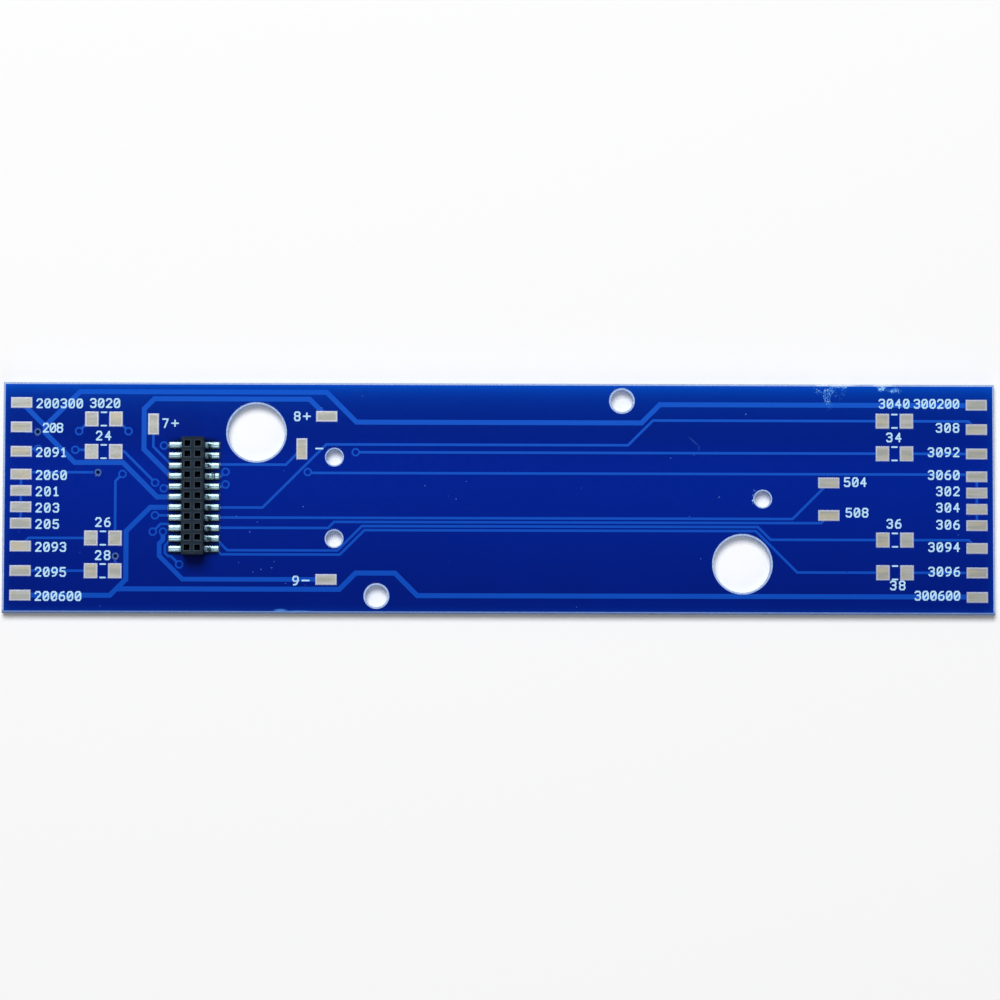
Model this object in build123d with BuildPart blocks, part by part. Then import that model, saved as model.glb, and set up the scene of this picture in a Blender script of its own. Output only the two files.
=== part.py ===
from build123d import *

import os
from dataclasses import dataclass, field
from math import copysign, dist

# Main board of a model locomotive: a long, narrow two-sided printed circuit board that takes a
# 22-way plug-in decoder and fans its outputs out to wire pads at both ends.
#
# Frame, in millimetres: the origin is the centre of the underside, X runs along the board, and
# +Z points out of the component side. "Front" is the cab at -X, where the decoder socket is.

# ---------------------------------------------------------------- driving dimensions

# Board blank, snapped out of a panel along V-grooves
board_length = 121.5
board_width = 28.3
board_thickness = 1.6
score_depth = 0.45  # how far the V-groove's bevel goes down from each face
score_run = 0.12  # how far it reaches in from the edge

# Layers on each face
copper_thickness = 0.035
mask_thickness = 0.025
print_thickness = 0.015
mask_setback = 0.27  # bare rim left along the board's edge
mask_flank = 0.03  # lacquer on the side of a track
opening_margin = 0.04  # the lacquer stays this far clear of each pad
artwork_shift = -0.2  # the etched pattern sits this far off the board's centre line

# Tracks and plated holes
heavy_track = 0.55
motor_track = 0.5
signal_track = 0.25
via_ring = 0.95
via_drill = 0.4
via_bore = 0.3
ring_sides = 8  # via rings are drawn with this many flats
barrel_sides = 6  # and their plated barrels with this many
bare_ring_opening = 1.05
link_track = 0.6  # on the underside, wide enough to take the barrels without a ring
opening_sides = 20  # the lacquer's clearance round an unplated hole

# Wire pads along both ends
wire_pad_length = 2.54
wire_pad_width = 1.27
wire_pad_inset = 0.98  # board end to pad
rail_row_inset = 2.35  # long edge to the outermost row of pads
common_pitch = 2.0
aux_above_common = 2.8  # row of auxiliary pads beyond the four common ones

# Footprints for chip resistors, two pads and two printed dashes each
resistor_pad_length = 1.6
resistor_pad_width = 1.8
resistor_pad_pitch = 2.95
resistor_inset = 10.07  # from the wire pads to the footprint's centre
resistor_row_pitch = 4.0
lamp_resistor_below_rail = 2.0
dash_length = 0.9
dash_width = 0.25
dash_offset = 0.82

# Pads inside the board for the motor, the buffer capacitor and the loudspeaker
motor_pads_from_front = 39.58
motor_plus_inset = 3.95  # +Y edge to the pad
motor_minus_inset = 4.35  # -Y edge to the pad
buffer_plus_from_front = 18.39
buffer_plus_inset = 4.95
buffer_minus_from_front = 36.56
buffer_minus_row = 6.2
speaker_pads_from_rear = 20.4
speaker_a_row = 2.2
speaker_b_row = -1.8

# Unplated holes and the lacquer's clearance round them
chassis_hole = 7.0
chassis_hole_opening = 7.42
chassis_hole_from_end = 31.0
chassis_hole_from_edge = 6.15
screw_hole = 2.7
screw_hole_opening = 3.15
screw_hole_from_end = 45.75
screw_hole_from_edge = 2.15
pin_hole = 2.0
pin_hole_opening = 2.3
pin_holes_from_front = 40.55
pin_holes_spacing = 10.0
rear_pin_hole_from_rear = 28.5

# Where the tracks turn, measured along the board from its ends
rail_right_turn_from_front = 5.15
rail_left_upright_from_front = 15.15
rail_left_step_past_motor_pad = 1.63
rail_left_step_from_front = 48.0
motor_plus_upright_from_front = 17.25
rear_lamp_step_from_front = 31.78
rear_lamp_step_from_rear = 45.0
aux4_step_from_rear = 29.1
aux6_step_from_rear = 29.35

# Lanes of the long tracks, measured across the board
lane_pitch = 0.5  # between signal tracks that run side by side
rail_right_past_lamp_via = 1.6  # along the board, from the lamp's first via to its diagonal
rail_right_past_lamp_track = 1.1  # along the board, between its last diagonal and the lamp's
rail_right_outer_lane = 1.35  # outside the outermost row of pads
rail_right_inner_lane = 2.3  # inside that row
rail_right_socket_lane = 1.35  # under the row of auxiliary pads
rail_left_past_pad = 0.705  # along the board, from the last resistor pad to its diagonal
rail_left_rise = 0.8  # above the outermost row of pads
rail_left_inner_lane = 2.8
rail_last_step = 0.05  # where each rail meets its rear pad
rail_left_knee = 3.95  # below the pattern's centre line
motor_plus_outer_lane = 0.5  # outside the outermost row of pads
motor_plus_knee = 1.25  # below that lane
rear_lamp_lane_above_aux = 0.95
pin_hole_to_lane = 0.4  # from a locating hole's clearance to a lane
speaker_a_lane = -2.25
speaker_b_first_lane = 0.75  # below its long lane
aux6_first_lane = 0.65  # below the last row of contacts
aux4_step_past_pin_hole = 0.4
aux6_step_past_pin_hole = 0.7
speaker_b_step_before_pin_hole = 0.75

# Vias, measured from the pad, the socket or the board's end that they serve
common_via_from_front = 11.65
common_via_rise = 0.25
common_rear_via_from_front = 37.3
common_rear_via_rise = 0.1
common_link_dip = 1.25
common_link_dip_from_front = 16.15
common_link_rise = 0.05
common_link_turn = 1.5
common_link_last_turn = 1.55
lamp_pad_via = (2.0, -0.6)
lamp_resistor_via = (7.05, -0.5)
lamp_inner_via = (3.03, -1.5)
lamp_link_above_socket = 1.7
aux1_pad_via = (2.05, 0.3)
aux1_resistor_via = (6.6, 0.2)
aux1_vias_from_socket = 4.77
aux1_upper_via_row = 2.0
aux1_lower_via_rise = 0.29
aux2_via_from_socket = 5.02
aux2_via_from_front = 43.15
aux2_track_rise = 0.51
aux2_track_turn = 0.95
aux2_link_drop = 1.0
aux2_link_turn = 8.8
aux3_resistor_via_row = 3.05
aux3_resistor_via_offset = 2.33
aux5_via_from_socket = 1.77
aux5_via_row = -8.0
aux5_track_from_socket = 3.52
aux5_track_knee = 0.5
aux5_track_turn = 1.0
aux5_resistor_via = (1.53, 1.8)
near_socket_via = 3.72  # from the socket's middle to the vias beside its front row
near_socket_via_rear = 3.83  # and to those beside its rear row
motor_via_from_socket = 3.77
motor_via_drop = 0.22
lower_via_row = -4.0
motor_track_knees = (1.0, 2.95)
motor_track_jog = 0.45
motor_lane_past_aux5_via = 2.0
track_clearance = 0.15  # least gap between pieces of copper
buffer_minus_track_rise = 0.19
common_socket_via_rise = 0.28
lamp_socket_via_rise = 0.56
aux3_socket_via_drop = 0.05
rail_right_turn_from_socket = 4.52
motor_plus_straight = 0.2  # leaves its land straight first

# Decoder socket, surface mounted, two rows of contacts
pin_rows = 11
pin_pitch = 1.27
socket_from_front = 23.42
socket_row_offset = 0.25  # middle row above the etched pattern's centre line
housing_width = 2.65
housing_end_wall = 0.8  # past the last row
housing_height = 3.6  # above the lacquer
housing_standoff = 0.15
cavity_size = 0.7
lead_in = 0.12  # chamfer round the mouth of each cavity
land_span = 6.33  # over both rows of lands
land_length = 2.0
land_width = 0.78

# Contacts, stamped from strip
strip_thickness = 0.14
strip_width = 0.4
tail_rise = 0.5  # from the land to the middle of the strip inside the housing
tail_foot_length = 0.75
tail_knee = 0.3  # from the housing's side to where the tail bends down
tine_gap = 0.34  # between the tines' middles at the root
tine_pinch = 0.06  # how far each tine is bowed in
tine_height = 1.9
solder_height = 0.42
solder_slope = 0.27  # how far each flank leans in over that height
solder_clearance = 0.05  # to the housing, and to the edge of the land

# ---------------------------------------------------------------- derived places

front = -board_length / 2
rear = board_length / 2

layer_thickness = copper_thickness + mask_thickness
laminate_thickness = board_thickness - 2 * layer_thickness
laminate_bottom = layer_thickness
laminate_top = laminate_bottom + laminate_thickness
copper_top = laminate_top + copper_thickness
mask_field_top = laminate_top + mask_thickness

rear_pads_x = rear - wire_pad_inset - wire_pad_length / 2
front_pads_x = -rear_pads_x
rail_row = board_width / 2 - rail_row_inset
common_row = 1.5 * common_pitch
aux_row = common_row + aux_above_common
lamp_row = (rail_row + aux_row) / 2

resistor_x = {"front": front_pads_x + resistor_inset, "rear": rear_pads_x - resistor_inset}
resistor_rows = (
    rail_row - lamp_resistor_below_rail,
    aux_row,
    resistor_row_pitch - lamp_row,
    -lamp_row,
)
lamp_resistor_row, aux_resistor_row, lower_resistor_row, lowest_resistor_row = resistor_rows

motor_pads_x = front + motor_pads_from_front
motor_plus_row = board_width / 2 - motor_plus_inset
motor_minus_row = motor_minus_inset - board_width / 2
buffer_plus_x = front + buffer_plus_from_front
buffer_plus_row = board_width / 2 - buffer_plus_inset
buffer_minus_x = front + buffer_minus_from_front
speaker_pads_x = rear - speaker_pads_from_rear

chassis_hole_x = rear - chassis_hole_from_end
chassis_hole_y = board_width / 2 - chassis_hole_from_edge
screw_hole_x = rear - screw_hole_from_end
screw_hole_y = board_width / 2 - screw_hole_from_edge
pin_holes_x = front + pin_holes_from_front
rear_pin_hole_x = rear - rear_pin_hole_from_rear
unplated_holes = (
    (-chassis_hole_x, chassis_hole_y, chassis_hole, chassis_hole_opening),
    (chassis_hole_x, -chassis_hole_y, chassis_hole, chassis_hole_opening),
    (screw_hole_x, screw_hole_y, screw_hole, screw_hole_opening),
    (-screw_hole_x, -screw_hole_y, screw_hole, screw_hole_opening),
    (pin_holes_x, pin_holes_spacing / 2, pin_hole, pin_hole_opening),
    (pin_holes_x, -pin_holes_spacing / 2, pin_hole, pin_hole_opening),
    (rear_pin_hole_x, 0, pin_hole, pin_hole_opening),
)

socket_x = front + socket_from_front
housing_length = (pin_rows - 1) * pin_pitch + 2 * housing_end_wall
housing_bottom = mask_field_top + housing_standoff
housing_top = mask_field_top + housing_height
pins = range(1, 2 * pin_rows + 1)


def at_level(z):
    """The etched pattern's plane at a height above the underside."""
    return Plane(origin=(0, artwork_shift, z))


# ---------------------------------------------------------------- lands, pads and tracks


def pin_side(pin):
    """Even pins stand in the row nearer the front of the locomotive."""
    return -1 if pin % 2 == 0 else 1


def pin_row_y(pin):
    """Rows are counted from the board's +Y edge, two pins to a row."""
    return socket_row_offset + pin_pitch * ((pin_rows - 1) / 2 - (pin - 1) // 2)


def land(pin):
    """The pad under one contact's tail."""
    x = socket_x + pin_side(pin) * (land_span - land_length) / 2
    return (x, pin_row_y(pin), land_length, land_width)


def exit_point(pin):
    """Where a track leaves a land, a quarter of its length in from its outer end."""
    x = socket_x + pin_side(pin) * (land_span / 2 - land_length / 4)
    return (x, pin_row_y(pin))


def wire_pad(x, y):
    return (x, y, wire_pad_length, wire_pad_width)


def upright_wire_pad(x, y):
    return (x, y, wire_pad_width, wire_pad_length)


def resistor_pad(end, side, row):
    """One pad of a chip-resistor footprint: side -1 is the one nearer the front."""
    return (
        resistor_x[end] + side * resistor_pad_pitch / 2,
        row,
        resistor_pad_length,
        resistor_pad_width,
    )


def route(start, *legs):
    """Corner points of a track that follows lanes joined by 45-degree diagonals.

    Each leg is (axis, lane, stop). The track cuts across diagonally until its coordinate on
    that axis equals lane, and then follows the lane until the other coordinate equals stop.
    """
    points = [start[:2]]
    for axis, lane, stop in legs:
        x, y = points[-1]
        if axis == "y":
            turn = (x + copysign(abs(lane - y), stop - x), lane)
            end = (stop, lane)
        else:
            turn = (lane, y + copysign(abs(lane - x), stop - y))
            end = (lane, stop)
        for point in (turn, end):
            if dist(point, points[-1]) > signal_track / 10:
                points.append(point)
    return points


@dataclass
class Net:
    """One separate piece of copper, with what it has on each side of the board."""

    pads: list
    tracks: list = field(default_factory=list)  # component side: (width, points)
    vias: list = field(default_factory=list)
    links: list = field(default_factory=list)  # underside: points, from via to via
    bare_vias: list = field(default_factory=list)  # left open: the others are plugged


nets = {}

# Track pick-ups: one heavy track along each long edge, tapped by the decoder
lamp_via_pad = (front_pads_x + lamp_pad_via[0], lamp_row + lamp_pad_via[1])
rail_right_start = sum(lamp_via_pad) + rail_right_past_lamp_via - rail_row
rail_right_turn = front + rail_right_turn_from_front
rail_right_fork = (rail_right_turn, rail_row - (rail_right_turn - rail_right_start))
socket_lane = aux_row - rail_right_socket_lane
socket_lane_end = socket_x - rail_right_turn_from_socket - (socket_lane - pin_row_y(12))
rail_right_main = route(
    (front_pads_x, rail_row),
    ("y", rail_row, rail_right_start),
    ("x", rail_right_turn, aux_row + rail_right_inner_lane),
    ("y", socket_lane, socket_lane_end),
    ("y", pin_row_y(12), exit_point(12)[0]),
)
rear_lamp_step = rear - rear_lamp_step_from_rear
pin_hole_lane = pin_holes_spacing / 2 - artwork_shift + pin_hole_opening / 2 + pin_hole_to_lane
rear_lamp_lane = max(aux_row + rear_lamp_lane_above_aux, pin_hole_lane)
rail_right_lane = rail_row - rail_right_inner_lane
rail_right_step = rear_lamp_step + (rail_right_lane - rear_lamp_lane) - rail_right_past_lamp_track
rail_right_bypass = route(
    rail_right_fork,
    ("y", rail_row + rail_right_outer_lane, motor_pads_x),
    ("y", rail_right_lane, rail_right_step),
    ("y", rail_row - rail_last_step, rear_pads_x),
)
nets["rail_right"] = Net(
    pads=[wire_pad(front_pads_x, rail_row), wire_pad(rear_pads_x, rail_row), land(12)],
    tracks=[(heavy_track, rail_right_main), (heavy_track, rail_right_bypass)],
)
lowest_pad_corner = (
    resistor_x["front"] + (resistor_pad_pitch + resistor_pad_length) / 2,
    lowest_resistor_row - resistor_pad_width / 2,
)
rail_left_turn = lowest_pad_corner[0] - (lowest_pad_corner[1] + rail_row) + rail_left_past_pad
rail_left_main = route(
    (front_pads_x, -rail_row),
    ("y", -rail_row, rail_left_turn),
    ("x", front + rail_left_upright_from_front, -rail_left_knee),
    ("y", pin_row_y(14), exit_point(14)[0]),
)
rail_left_bypass = route(
    (rail_left_turn + rail_left_rise, rail_left_rise - rail_row),
    ("y", rail_left_rise - rail_row, motor_pads_x + rail_left_step_past_motor_pad),
    ("y", rail_left_inner_lane - rail_row, front + rail_left_step_from_front),
    ("y", rail_last_step - rail_row, rear_pads_x),
)
nets["rail_left"] = Net(
    pads=[wire_pad(front_pads_x, -rail_row), wire_pad(rear_pads_x, -rail_row), land(14)],
    tracks=[(heavy_track, rail_left_main), (heavy_track, rail_left_bypass)],
)

# Motor
motor_plus_lane = rail_row + motor_plus_outer_lane
motor_plus_drop = motor_plus_lane - motor_plus_row
nets["motor_plus"] = Net(
    pads=[wire_pad(motor_pads_x, motor_plus_row), land(8)],
    tracks=[
        (
            heavy_track,
            route(
                exit_point(8),
                ("y", pin_row_y(8), exit_point(8)[0] - motor_plus_straight),
                ("x", front + motor_plus_upright_from_front, motor_plus_lane - motor_plus_knee),
                ("y", motor_plus_lane, motor_pads_x - motor_plus_drop),
                ("x", motor_pads_x, motor_plus_row),
            ),
        )
    ],
)
motor_via_socket_side = (socket_x - near_socket_via, pin_row_y(10) - motor_via_drop)
motor_via_lower = (socket_x - motor_via_from_socket, lower_via_row)
first_knee, second_knee = motor_track_knees
aux5_via_socket = (socket_x - aux5_via_from_socket, aux5_via_row)
below_aux5_via = aux5_via_row - via_ring / 2 - motor_track / 2 - track_clearance
motor_minus_lane = min(motor_minus_row, below_aux5_via)
nets["motor_minus"] = Net(
    pads=[wire_pad(motor_pads_x, motor_minus_row), land(10)],
    vias=[motor_via_socket_side, motor_via_lower],
    tracks=[
        (signal_track, route(motor_via_socket_side, ("y", pin_row_y(10), exit_point(10)[0]))),
        (
            motor_track,
            route(
                motor_via_lower,
                ("x", motor_via_lower[0], lower_via_row - first_knee),
                ("x", motor_via_lower[0] - motor_track_jog, lower_via_row - second_knee),
                ("y", motor_minus_lane, aux5_via_socket[0] + motor_lane_past_aux5_via),
                ("y", motor_minus_row, motor_pads_x),
            ),
        ),
    ],
    links=[route(motor_via_socket_side, ("x", motor_via_lower[0], motor_via_lower[1]))],
)

# Buffer capacitor
nets["buffer_plus"] = Net(
    pads=[upright_wire_pad(buffer_plus_x, buffer_plus_row), land(6)],
    tracks=[(signal_track, route(exit_point(6), ("x", buffer_plus_x, buffer_plus_row)))],
)
buffer_minus_lane = pin_row_y(5) + buffer_minus_track_rise
nets["buffer_minus"] = Net(
    pads=[upright_wire_pad(buffer_minus_x, buffer_minus_row), land(5)],
    tracks=[
        (
            signal_track,
            route(
                exit_point(5),
                ("y", buffer_minus_lane, buffer_minus_x + buffer_minus_lane - buffer_minus_row),
                ("x", buffer_minus_x, buffer_minus_row),
            ),
        )
    ],
)

# Common supply of the lamps: four wire pads at each end, joined under the socket
common_lane = common_row + common_via_rise
common_via_front = (front + common_via_from_front, common_lane)
common_via_socket = (socket_x + near_socket_via_rear, pin_row_y(9) + common_socket_via_rise)
common_via_rear = (front + common_rear_via_from_front, common_lane + common_rear_via_rise)
common_rows = [common_pitch * (row - 1.5) for row in range(4)]
nets["common_supply"] = Net(
    pads=[wire_pad(x, y) for x in (front_pads_x, rear_pads_x) for y in common_rows] + [land(9)],
    vias=[common_via_socket, common_via_rear],
    bare_vias=[common_via_front],
    tracks=[
        (signal_track, [(front_pads_x, -common_row), (front_pads_x, common_row)]),
        (signal_track, [(rear_pads_x, -common_row), (rear_pads_x, common_row)]),
        (
            signal_track,
            route((front_pads_x, common_row), ("y", common_lane, common_via_front[0])),
        ),
        (signal_track, route(common_via_socket, ("y", pin_row_y(9), exit_point(9)[0]))),
        (signal_track, route(common_via_rear, ("y", common_lane, rear_pads_x))),
    ],
    links=[
        route(
            common_via_front,
            ("y", common_lane - common_link_dip, front + common_link_dip_from_front),
            ("y", common_lane + common_link_rise, common_via_socket[0] - common_link_turn),
            ("x", common_via_socket[0], common_via_socket[1]),
        ),
        route(
            common_via_socket,
            ("y", common_via_socket[1], common_via_rear[0] - common_link_last_turn),
            ("x", common_via_rear[0], common_via_rear[1]),
        ),
    ],
)

# Headlamps: each pad reaches the socket through a series resistor
lamp_via_resistor = (front_pads_x + lamp_resistor_via[0], lamp_row + lamp_resistor_via[1])
nets["front_lamp_pad"] = Net(
    pads=[wire_pad(front_pads_x, lamp_row), resistor_pad("front", -1, lamp_resistor_row)],
    vias=[lamp_via_resistor],
    bare_vias=[lamp_via_pad],
    tracks=[
        (signal_track, route((front_pads_x, lamp_row), ("y", lamp_via_pad[1], lamp_via_pad[0]))),
        (
            signal_track,
            route(
                lamp_via_resistor,
                ("y", lamp_resistor_row, resistor_pad("front", -1, lamp_resistor_row)[0]),
            ),
        ),
    ],
    links=[route(lamp_via_pad, ("y", lamp_via_resistor[1], lamp_via_resistor[0]))],
)
lamp_via_inner = (
    resistor_x["front"] + lamp_inner_via[0],
    lamp_resistor_row + lamp_inner_via[1],
)
lamp_via_socket = (socket_x + near_socket_via_rear, pin_row_y(7) + lamp_socket_via_rise)
lamp_link_lane = pin_row_y(1) + lamp_link_above_socket
lamp_link_turn = lamp_via_socket[0] + lamp_via_socket[1] - lamp_link_lane
nets["front_lamp_feed"] = Net(
    pads=[resistor_pad("front", 1, lamp_resistor_row), land(7)],
    vias=[lamp_via_inner, lamp_via_socket],
    tracks=[
        (
            signal_track,
            route(
                lamp_via_inner,
                ("y", lamp_resistor_row, resistor_pad("front", 1, lamp_resistor_row)[0]),
            ),
        ),
        (signal_track, route(lamp_via_socket, ("y", pin_row_y(7), exit_point(7)[0]))),
    ],
    links=[
        route(
            lamp_via_inner,
            ("y", lamp_link_lane, lamp_link_turn),
            ("x", lamp_via_socket[0], lamp_via_socket[1]),
        )
    ],
)
nets["rear_lamp_pad"] = Net(
    pads=[wire_pad(rear_pads_x, lamp_row), resistor_pad("rear", 1, lamp_resistor_row)],
    tracks=[
        (
            signal_track,
            route(
                (rear_pads_x, lamp_row),
                ("y", lamp_resistor_row, resistor_pad("rear", 1, lamp_resistor_row)[0]),
            ),
        )
    ],
)
nets["rear_lamp_feed"] = Net(
    pads=[resistor_pad("rear", -1, lamp_resistor_row), land(13)],
    tracks=[
        (
            signal_track,
            route(
                exit_point(13),
                ("y", pin_row_y(13), front + rear_lamp_step_from_front),
                ("y", rear_lamp_lane, rear_lamp_step),
                ("y", lamp_resistor_row, resistor_pad("rear", -1, lamp_resistor_row)[0]),
            ),
        )
    ],
)

# Auxiliary outputs 1, 3 and 5 at the front, 2, 4 and 6 at the rear
aux1_via_pad = (front_pads_x + aux1_pad_via[0], aux_row + aux1_pad_via[1])
aux1_via_resistor = (front_pads_x + aux1_resistor_via[0], aux_row + aux1_resistor_via[1])
nets["aux1_pad"] = Net(
    pads=[wire_pad(front_pads_x, aux_row), resistor_pad("front", -1, aux_resistor_row)],
    vias=[aux1_via_pad, aux1_via_resistor],
    tracks=[
        (signal_track, route((front_pads_x, aux_row), ("y", aux1_via_pad[1], aux1_via_pad[0]))),
        (
            signal_track,
            route(
                aux1_via_resistor,
                ("y", aux1_via_resistor[1], resistor_pad("front", -1, aux_resistor_row)[0]),
            ),
        ),
    ],
    links=[route(aux1_via_pad, ("y", aux1_via_resistor[1], aux1_via_resistor[0]))],
)
aux1_via_upper = (socket_x - aux1_vias_from_socket, aux1_upper_via_row)
aux1_via_lower = (socket_x - aux1_vias_from_socket, pin_row_y(16) + aux1_lower_via_rise)
nets["aux1_feed"] = Net(
    pads=[resistor_pad("front", 1, aux_resistor_row), land(16)],
    vias=[aux1_via_upper, aux1_via_lower],
    tracks=[
        (signal_track, route(exit_point(16), ("y", aux1_via_lower[1], aux1_via_lower[0]))),
        (
            signal_track,
            route(
                aux1_via_upper,
                ("y", aux_resistor_row, resistor_pad("front", 1, aux_resistor_row)[0]),
            ),
        ),
    ],
    links=[[aux1_via_upper, aux1_via_lower]],
)
nets["aux2_pad"] = Net(
    pads=[wire_pad(rear_pads_x, aux_row), resistor_pad("rear", 1, aux_resistor_row)],
    tracks=[
        (
            signal_track,
            [(rear_pads_x, aux_row), resistor_pad("rear", 1, aux_resistor_row)[:2]],
        )
    ],
)
aux2_via_socket = (socket_x - aux2_via_from_socket, lower_via_row)
aux2_via_rear = (front + aux2_via_from_front, aux_row)
nets["aux2_feed"] = Net(
    pads=[resistor_pad("rear", -1, aux_resistor_row), land(18)],
    vias=[aux2_via_socket, aux2_via_rear],
    tracks=[
        (
            signal_track,
            route(
                exit_point(18),
                ("y", pin_row_y(18) + aux2_track_rise, aux2_via_socket[0] + aux2_track_turn),
                ("x", aux2_via_socket[0], aux2_via_socket[1]),
            ),
        ),
        (signal_track, [aux2_via_rear, resistor_pad("rear", -1, aux_resistor_row)[:2]]),
    ],
    links=[
        route(
            aux2_via_socket,
            ("y", lower_via_row - aux2_link_drop, aux2_via_rear[0] - aux2_link_turn),
            ("x", aux2_via_rear[0], aux2_via_rear[1]),
        )
    ],
)
nets["aux3_pad"] = Net(
    pads=[wire_pad(front_pads_x, -aux_row), resistor_pad("front", -1, lower_resistor_row)],
    tracks=[
        (
            signal_track,
            route(
                (front_pads_x, -aux_row),
                ("y", lower_resistor_row, resistor_pad("front", -1, lower_resistor_row)[0]),
            ),
        )
    ],
)
aux3_via_socket = (socket_x - near_socket_via, pin_row_y(2) - aux3_socket_via_drop)
aux3_via_resistor = (resistor_x["front"] + aux3_resistor_via_offset, aux3_resistor_via_row)
nets["aux3_feed"] = Net(
    pads=[resistor_pad("front", 1, lower_resistor_row), land(2)],
    vias=[aux3_via_socket, aux3_via_resistor],
    tracks=[
        (signal_track, [aux3_via_socket, exit_point(2)]),
        (
            signal_track,
            route(
                aux3_via_resistor,
                ("x", resistor_pad("front", 1, lower_resistor_row)[0], lower_resistor_row),
            ),
        ),
    ],
    links=[route(aux3_via_resistor, ("y", aux3_via_socket[1], aux3_via_socket[0]))],
)
nets["aux4_pad"] = Net(
    pads=[wire_pad(rear_pads_x, -aux_row), resistor_pad("rear", 1, lower_resistor_row)],
    tracks=[
        (
            signal_track,
            route(
                (rear_pads_x, -aux_row),
                ("y", lower_resistor_row, resistor_pad("rear", 1, lower_resistor_row)[0]),
            ),
        )
    ],
)
speaker_b_lane = speaker_a_lane - lane_pitch
aux4_lane = speaker_b_lane - lane_pitch
aux6_lane = aux4_lane - lane_pitch
aux6_lower_lane = pin_row_y(21) - aux6_first_lane
aux4_lower_lane = aux6_lower_lane + lane_pitch
nets["aux4_feed"] = Net(
    pads=[resistor_pad("rear", -1, lower_resistor_row), land(19)],
    tracks=[
        (
            signal_track,
            route(
                exit_point(19),
                ("y", aux4_lower_lane, pin_holes_x + aux4_step_past_pin_hole),
                ("y", aux4_lane, rear - aux4_step_from_rear),
                ("y", lower_resistor_row, resistor_pad("rear", -1, lower_resistor_row)[0]),
            ),
        )
    ],
)
nets["aux5_pad"] = Net(
    pads=[wire_pad(front_pads_x, -lamp_row), resistor_pad("front", -1, lowest_resistor_row)],
    tracks=[
        (
            signal_track,
            [(front_pads_x, -lamp_row), resistor_pad("front", -1, lowest_resistor_row)[:2]],
        )
    ],
)
aux5_via_resistor = (
    resistor_x["front"] + aux5_resistor_via[0],
    lowest_resistor_row + aux5_resistor_via[1],
)
nets["aux5_feed"] = Net(
    pads=[resistor_pad("front", 1, lowest_resistor_row), land(20)],
    vias=[aux5_via_socket],
    bare_vias=[aux5_via_resistor],
    tracks=[
        (
            signal_track,
            route(
                exit_point(20),
                ("x", socket_x - aux5_track_from_socket, pin_row_y(22) - aux5_track_knee),
                ("y", aux5_via_row + aux5_track_turn, aux5_via_socket[0] - aux5_track_turn),
                ("x", aux5_via_socket[0], aux5_via_socket[1]),
            ),
        ),
        (
            signal_track,
            [aux5_via_resistor, resistor_pad("front", 1, lowest_resistor_row)[:2]],
        ),
    ],
    links=[
        route(
            aux5_via_socket,
            ("y", aux5_via_row, aux5_via_resistor[0] + aux5_track_turn),
            ("x", aux5_via_resistor[0], aux5_via_resistor[1]),
        )
    ],
)
nets["aux6_pad"] = Net(
    pads=[wire_pad(rear_pads_x, -lamp_row), resistor_pad("rear", 1, lowest_resistor_row)],
    tracks=[
        (
            signal_track,
            [(rear_pads_x, -lamp_row), resistor_pad("rear", 1, lowest_resistor_row)[:2]],
        )
    ],
)
nets["aux6_feed"] = Net(
    pads=[resistor_pad("rear", -1, lowest_resistor_row), land(21)],
    tracks=[
        (
            signal_track,
            route(
                exit_point(21),
                ("y", aux6_lower_lane, pin_holes_x + aux6_step_past_pin_hole),
                ("y", aux6_lane, rear - aux6_step_from_rear),
                ("y", lowest_resistor_row, resistor_pad("rear", -1, lowest_resistor_row)[0]),
            ),
        )
    ],
)

# Loudspeaker
nets["speaker_a"] = Net(
    pads=[wire_pad(speaker_pads_x, speaker_a_row), land(15)],
    tracks=[
        (
            signal_track,
            route(
                exit_point(15),
                ("y", speaker_a_lane, speaker_pads_x - (speaker_a_row - speaker_a_lane)),
                ("x", speaker_pads_x, speaker_a_row),
            ),
        )
    ],
)
nets["speaker_b"] = Net(
    pads=[wire_pad(speaker_pads_x, speaker_b_row), land(17)],
    tracks=[
        (
            signal_track,
            route(
                exit_point(17),
                (
                    "y",
                    speaker_b_lane - speaker_b_first_lane,
                    pin_holes_x - speaker_b_step_before_pin_hole,
                ),
                ("y", speaker_b_lane, speaker_pads_x - (speaker_b_row - speaker_b_lane)),
                ("x", speaker_pads_x, speaker_b_row),
            ),
        )
    ],
)

# Lands of the contacts that this board leaves unconnected
nets["spare_lands"] = Net(pads=[land(pin) for pin in (1, 3, 4, 11, 22)])

every_via = [via for net in nets.values() for via in net.vias + net.bare_vias]
every_bare_via = [via for net in nets.values() for via in net.bare_vias]
every_land = [land(pin) for pin in pins]
every_pad = [pad for net in nets.values() for pad in net.pads]


def draw_pads(pads, growth=0):
    """Adds rectangles to the sketch in hand, larger by growth on each side."""
    for x, y, length, width in pads:
        with Locations((x, y)):
            Rectangle(length + 2 * growth, width + 2 * growth)


def draw_tracks(tracks, growth=0):
    """Adds mitred strips to the sketch in hand, wider by growth on each side."""
    for width, points in tracks:
        with BuildLine() as centre_line:
            Polyline(*points)
        trace(centre_line.line, line_width=width + 2 * growth)


def draw_links(links):
    """Adds the underside's strips, carried half their width past the vias at both ends."""
    for points in links:
        with BuildLine():
            path = Polyline(*points)
        start = path @ 0 - (path % 0) * (link_track / 2)
        end = path @ 1 + (path % 1) * (link_track / 2)
        draw_tracks([(link_track, [start, *points[1:-1], end])])


def draw_polygons(centres, size, sides):
    """Adds equal regular polygons, size across their flats, to the sketch in hand."""
    if centres:
        with Locations(*centres):
            RegularPolygon(size / 2, sides, major_radius=False, rotation=180 / sides)


def draw_top_copper(net, growth=0):
    """Adds what a net has on the component side, apart from its pads."""
    draw_tracks(net.tracks, growth)
    draw_polygons(net.vias + net.bare_vias, via_ring + 2 * growth, ring_sides)


os.makedirs("parts", exist_ok=True)

# ---------------------------------------------------------------- laminate

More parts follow.
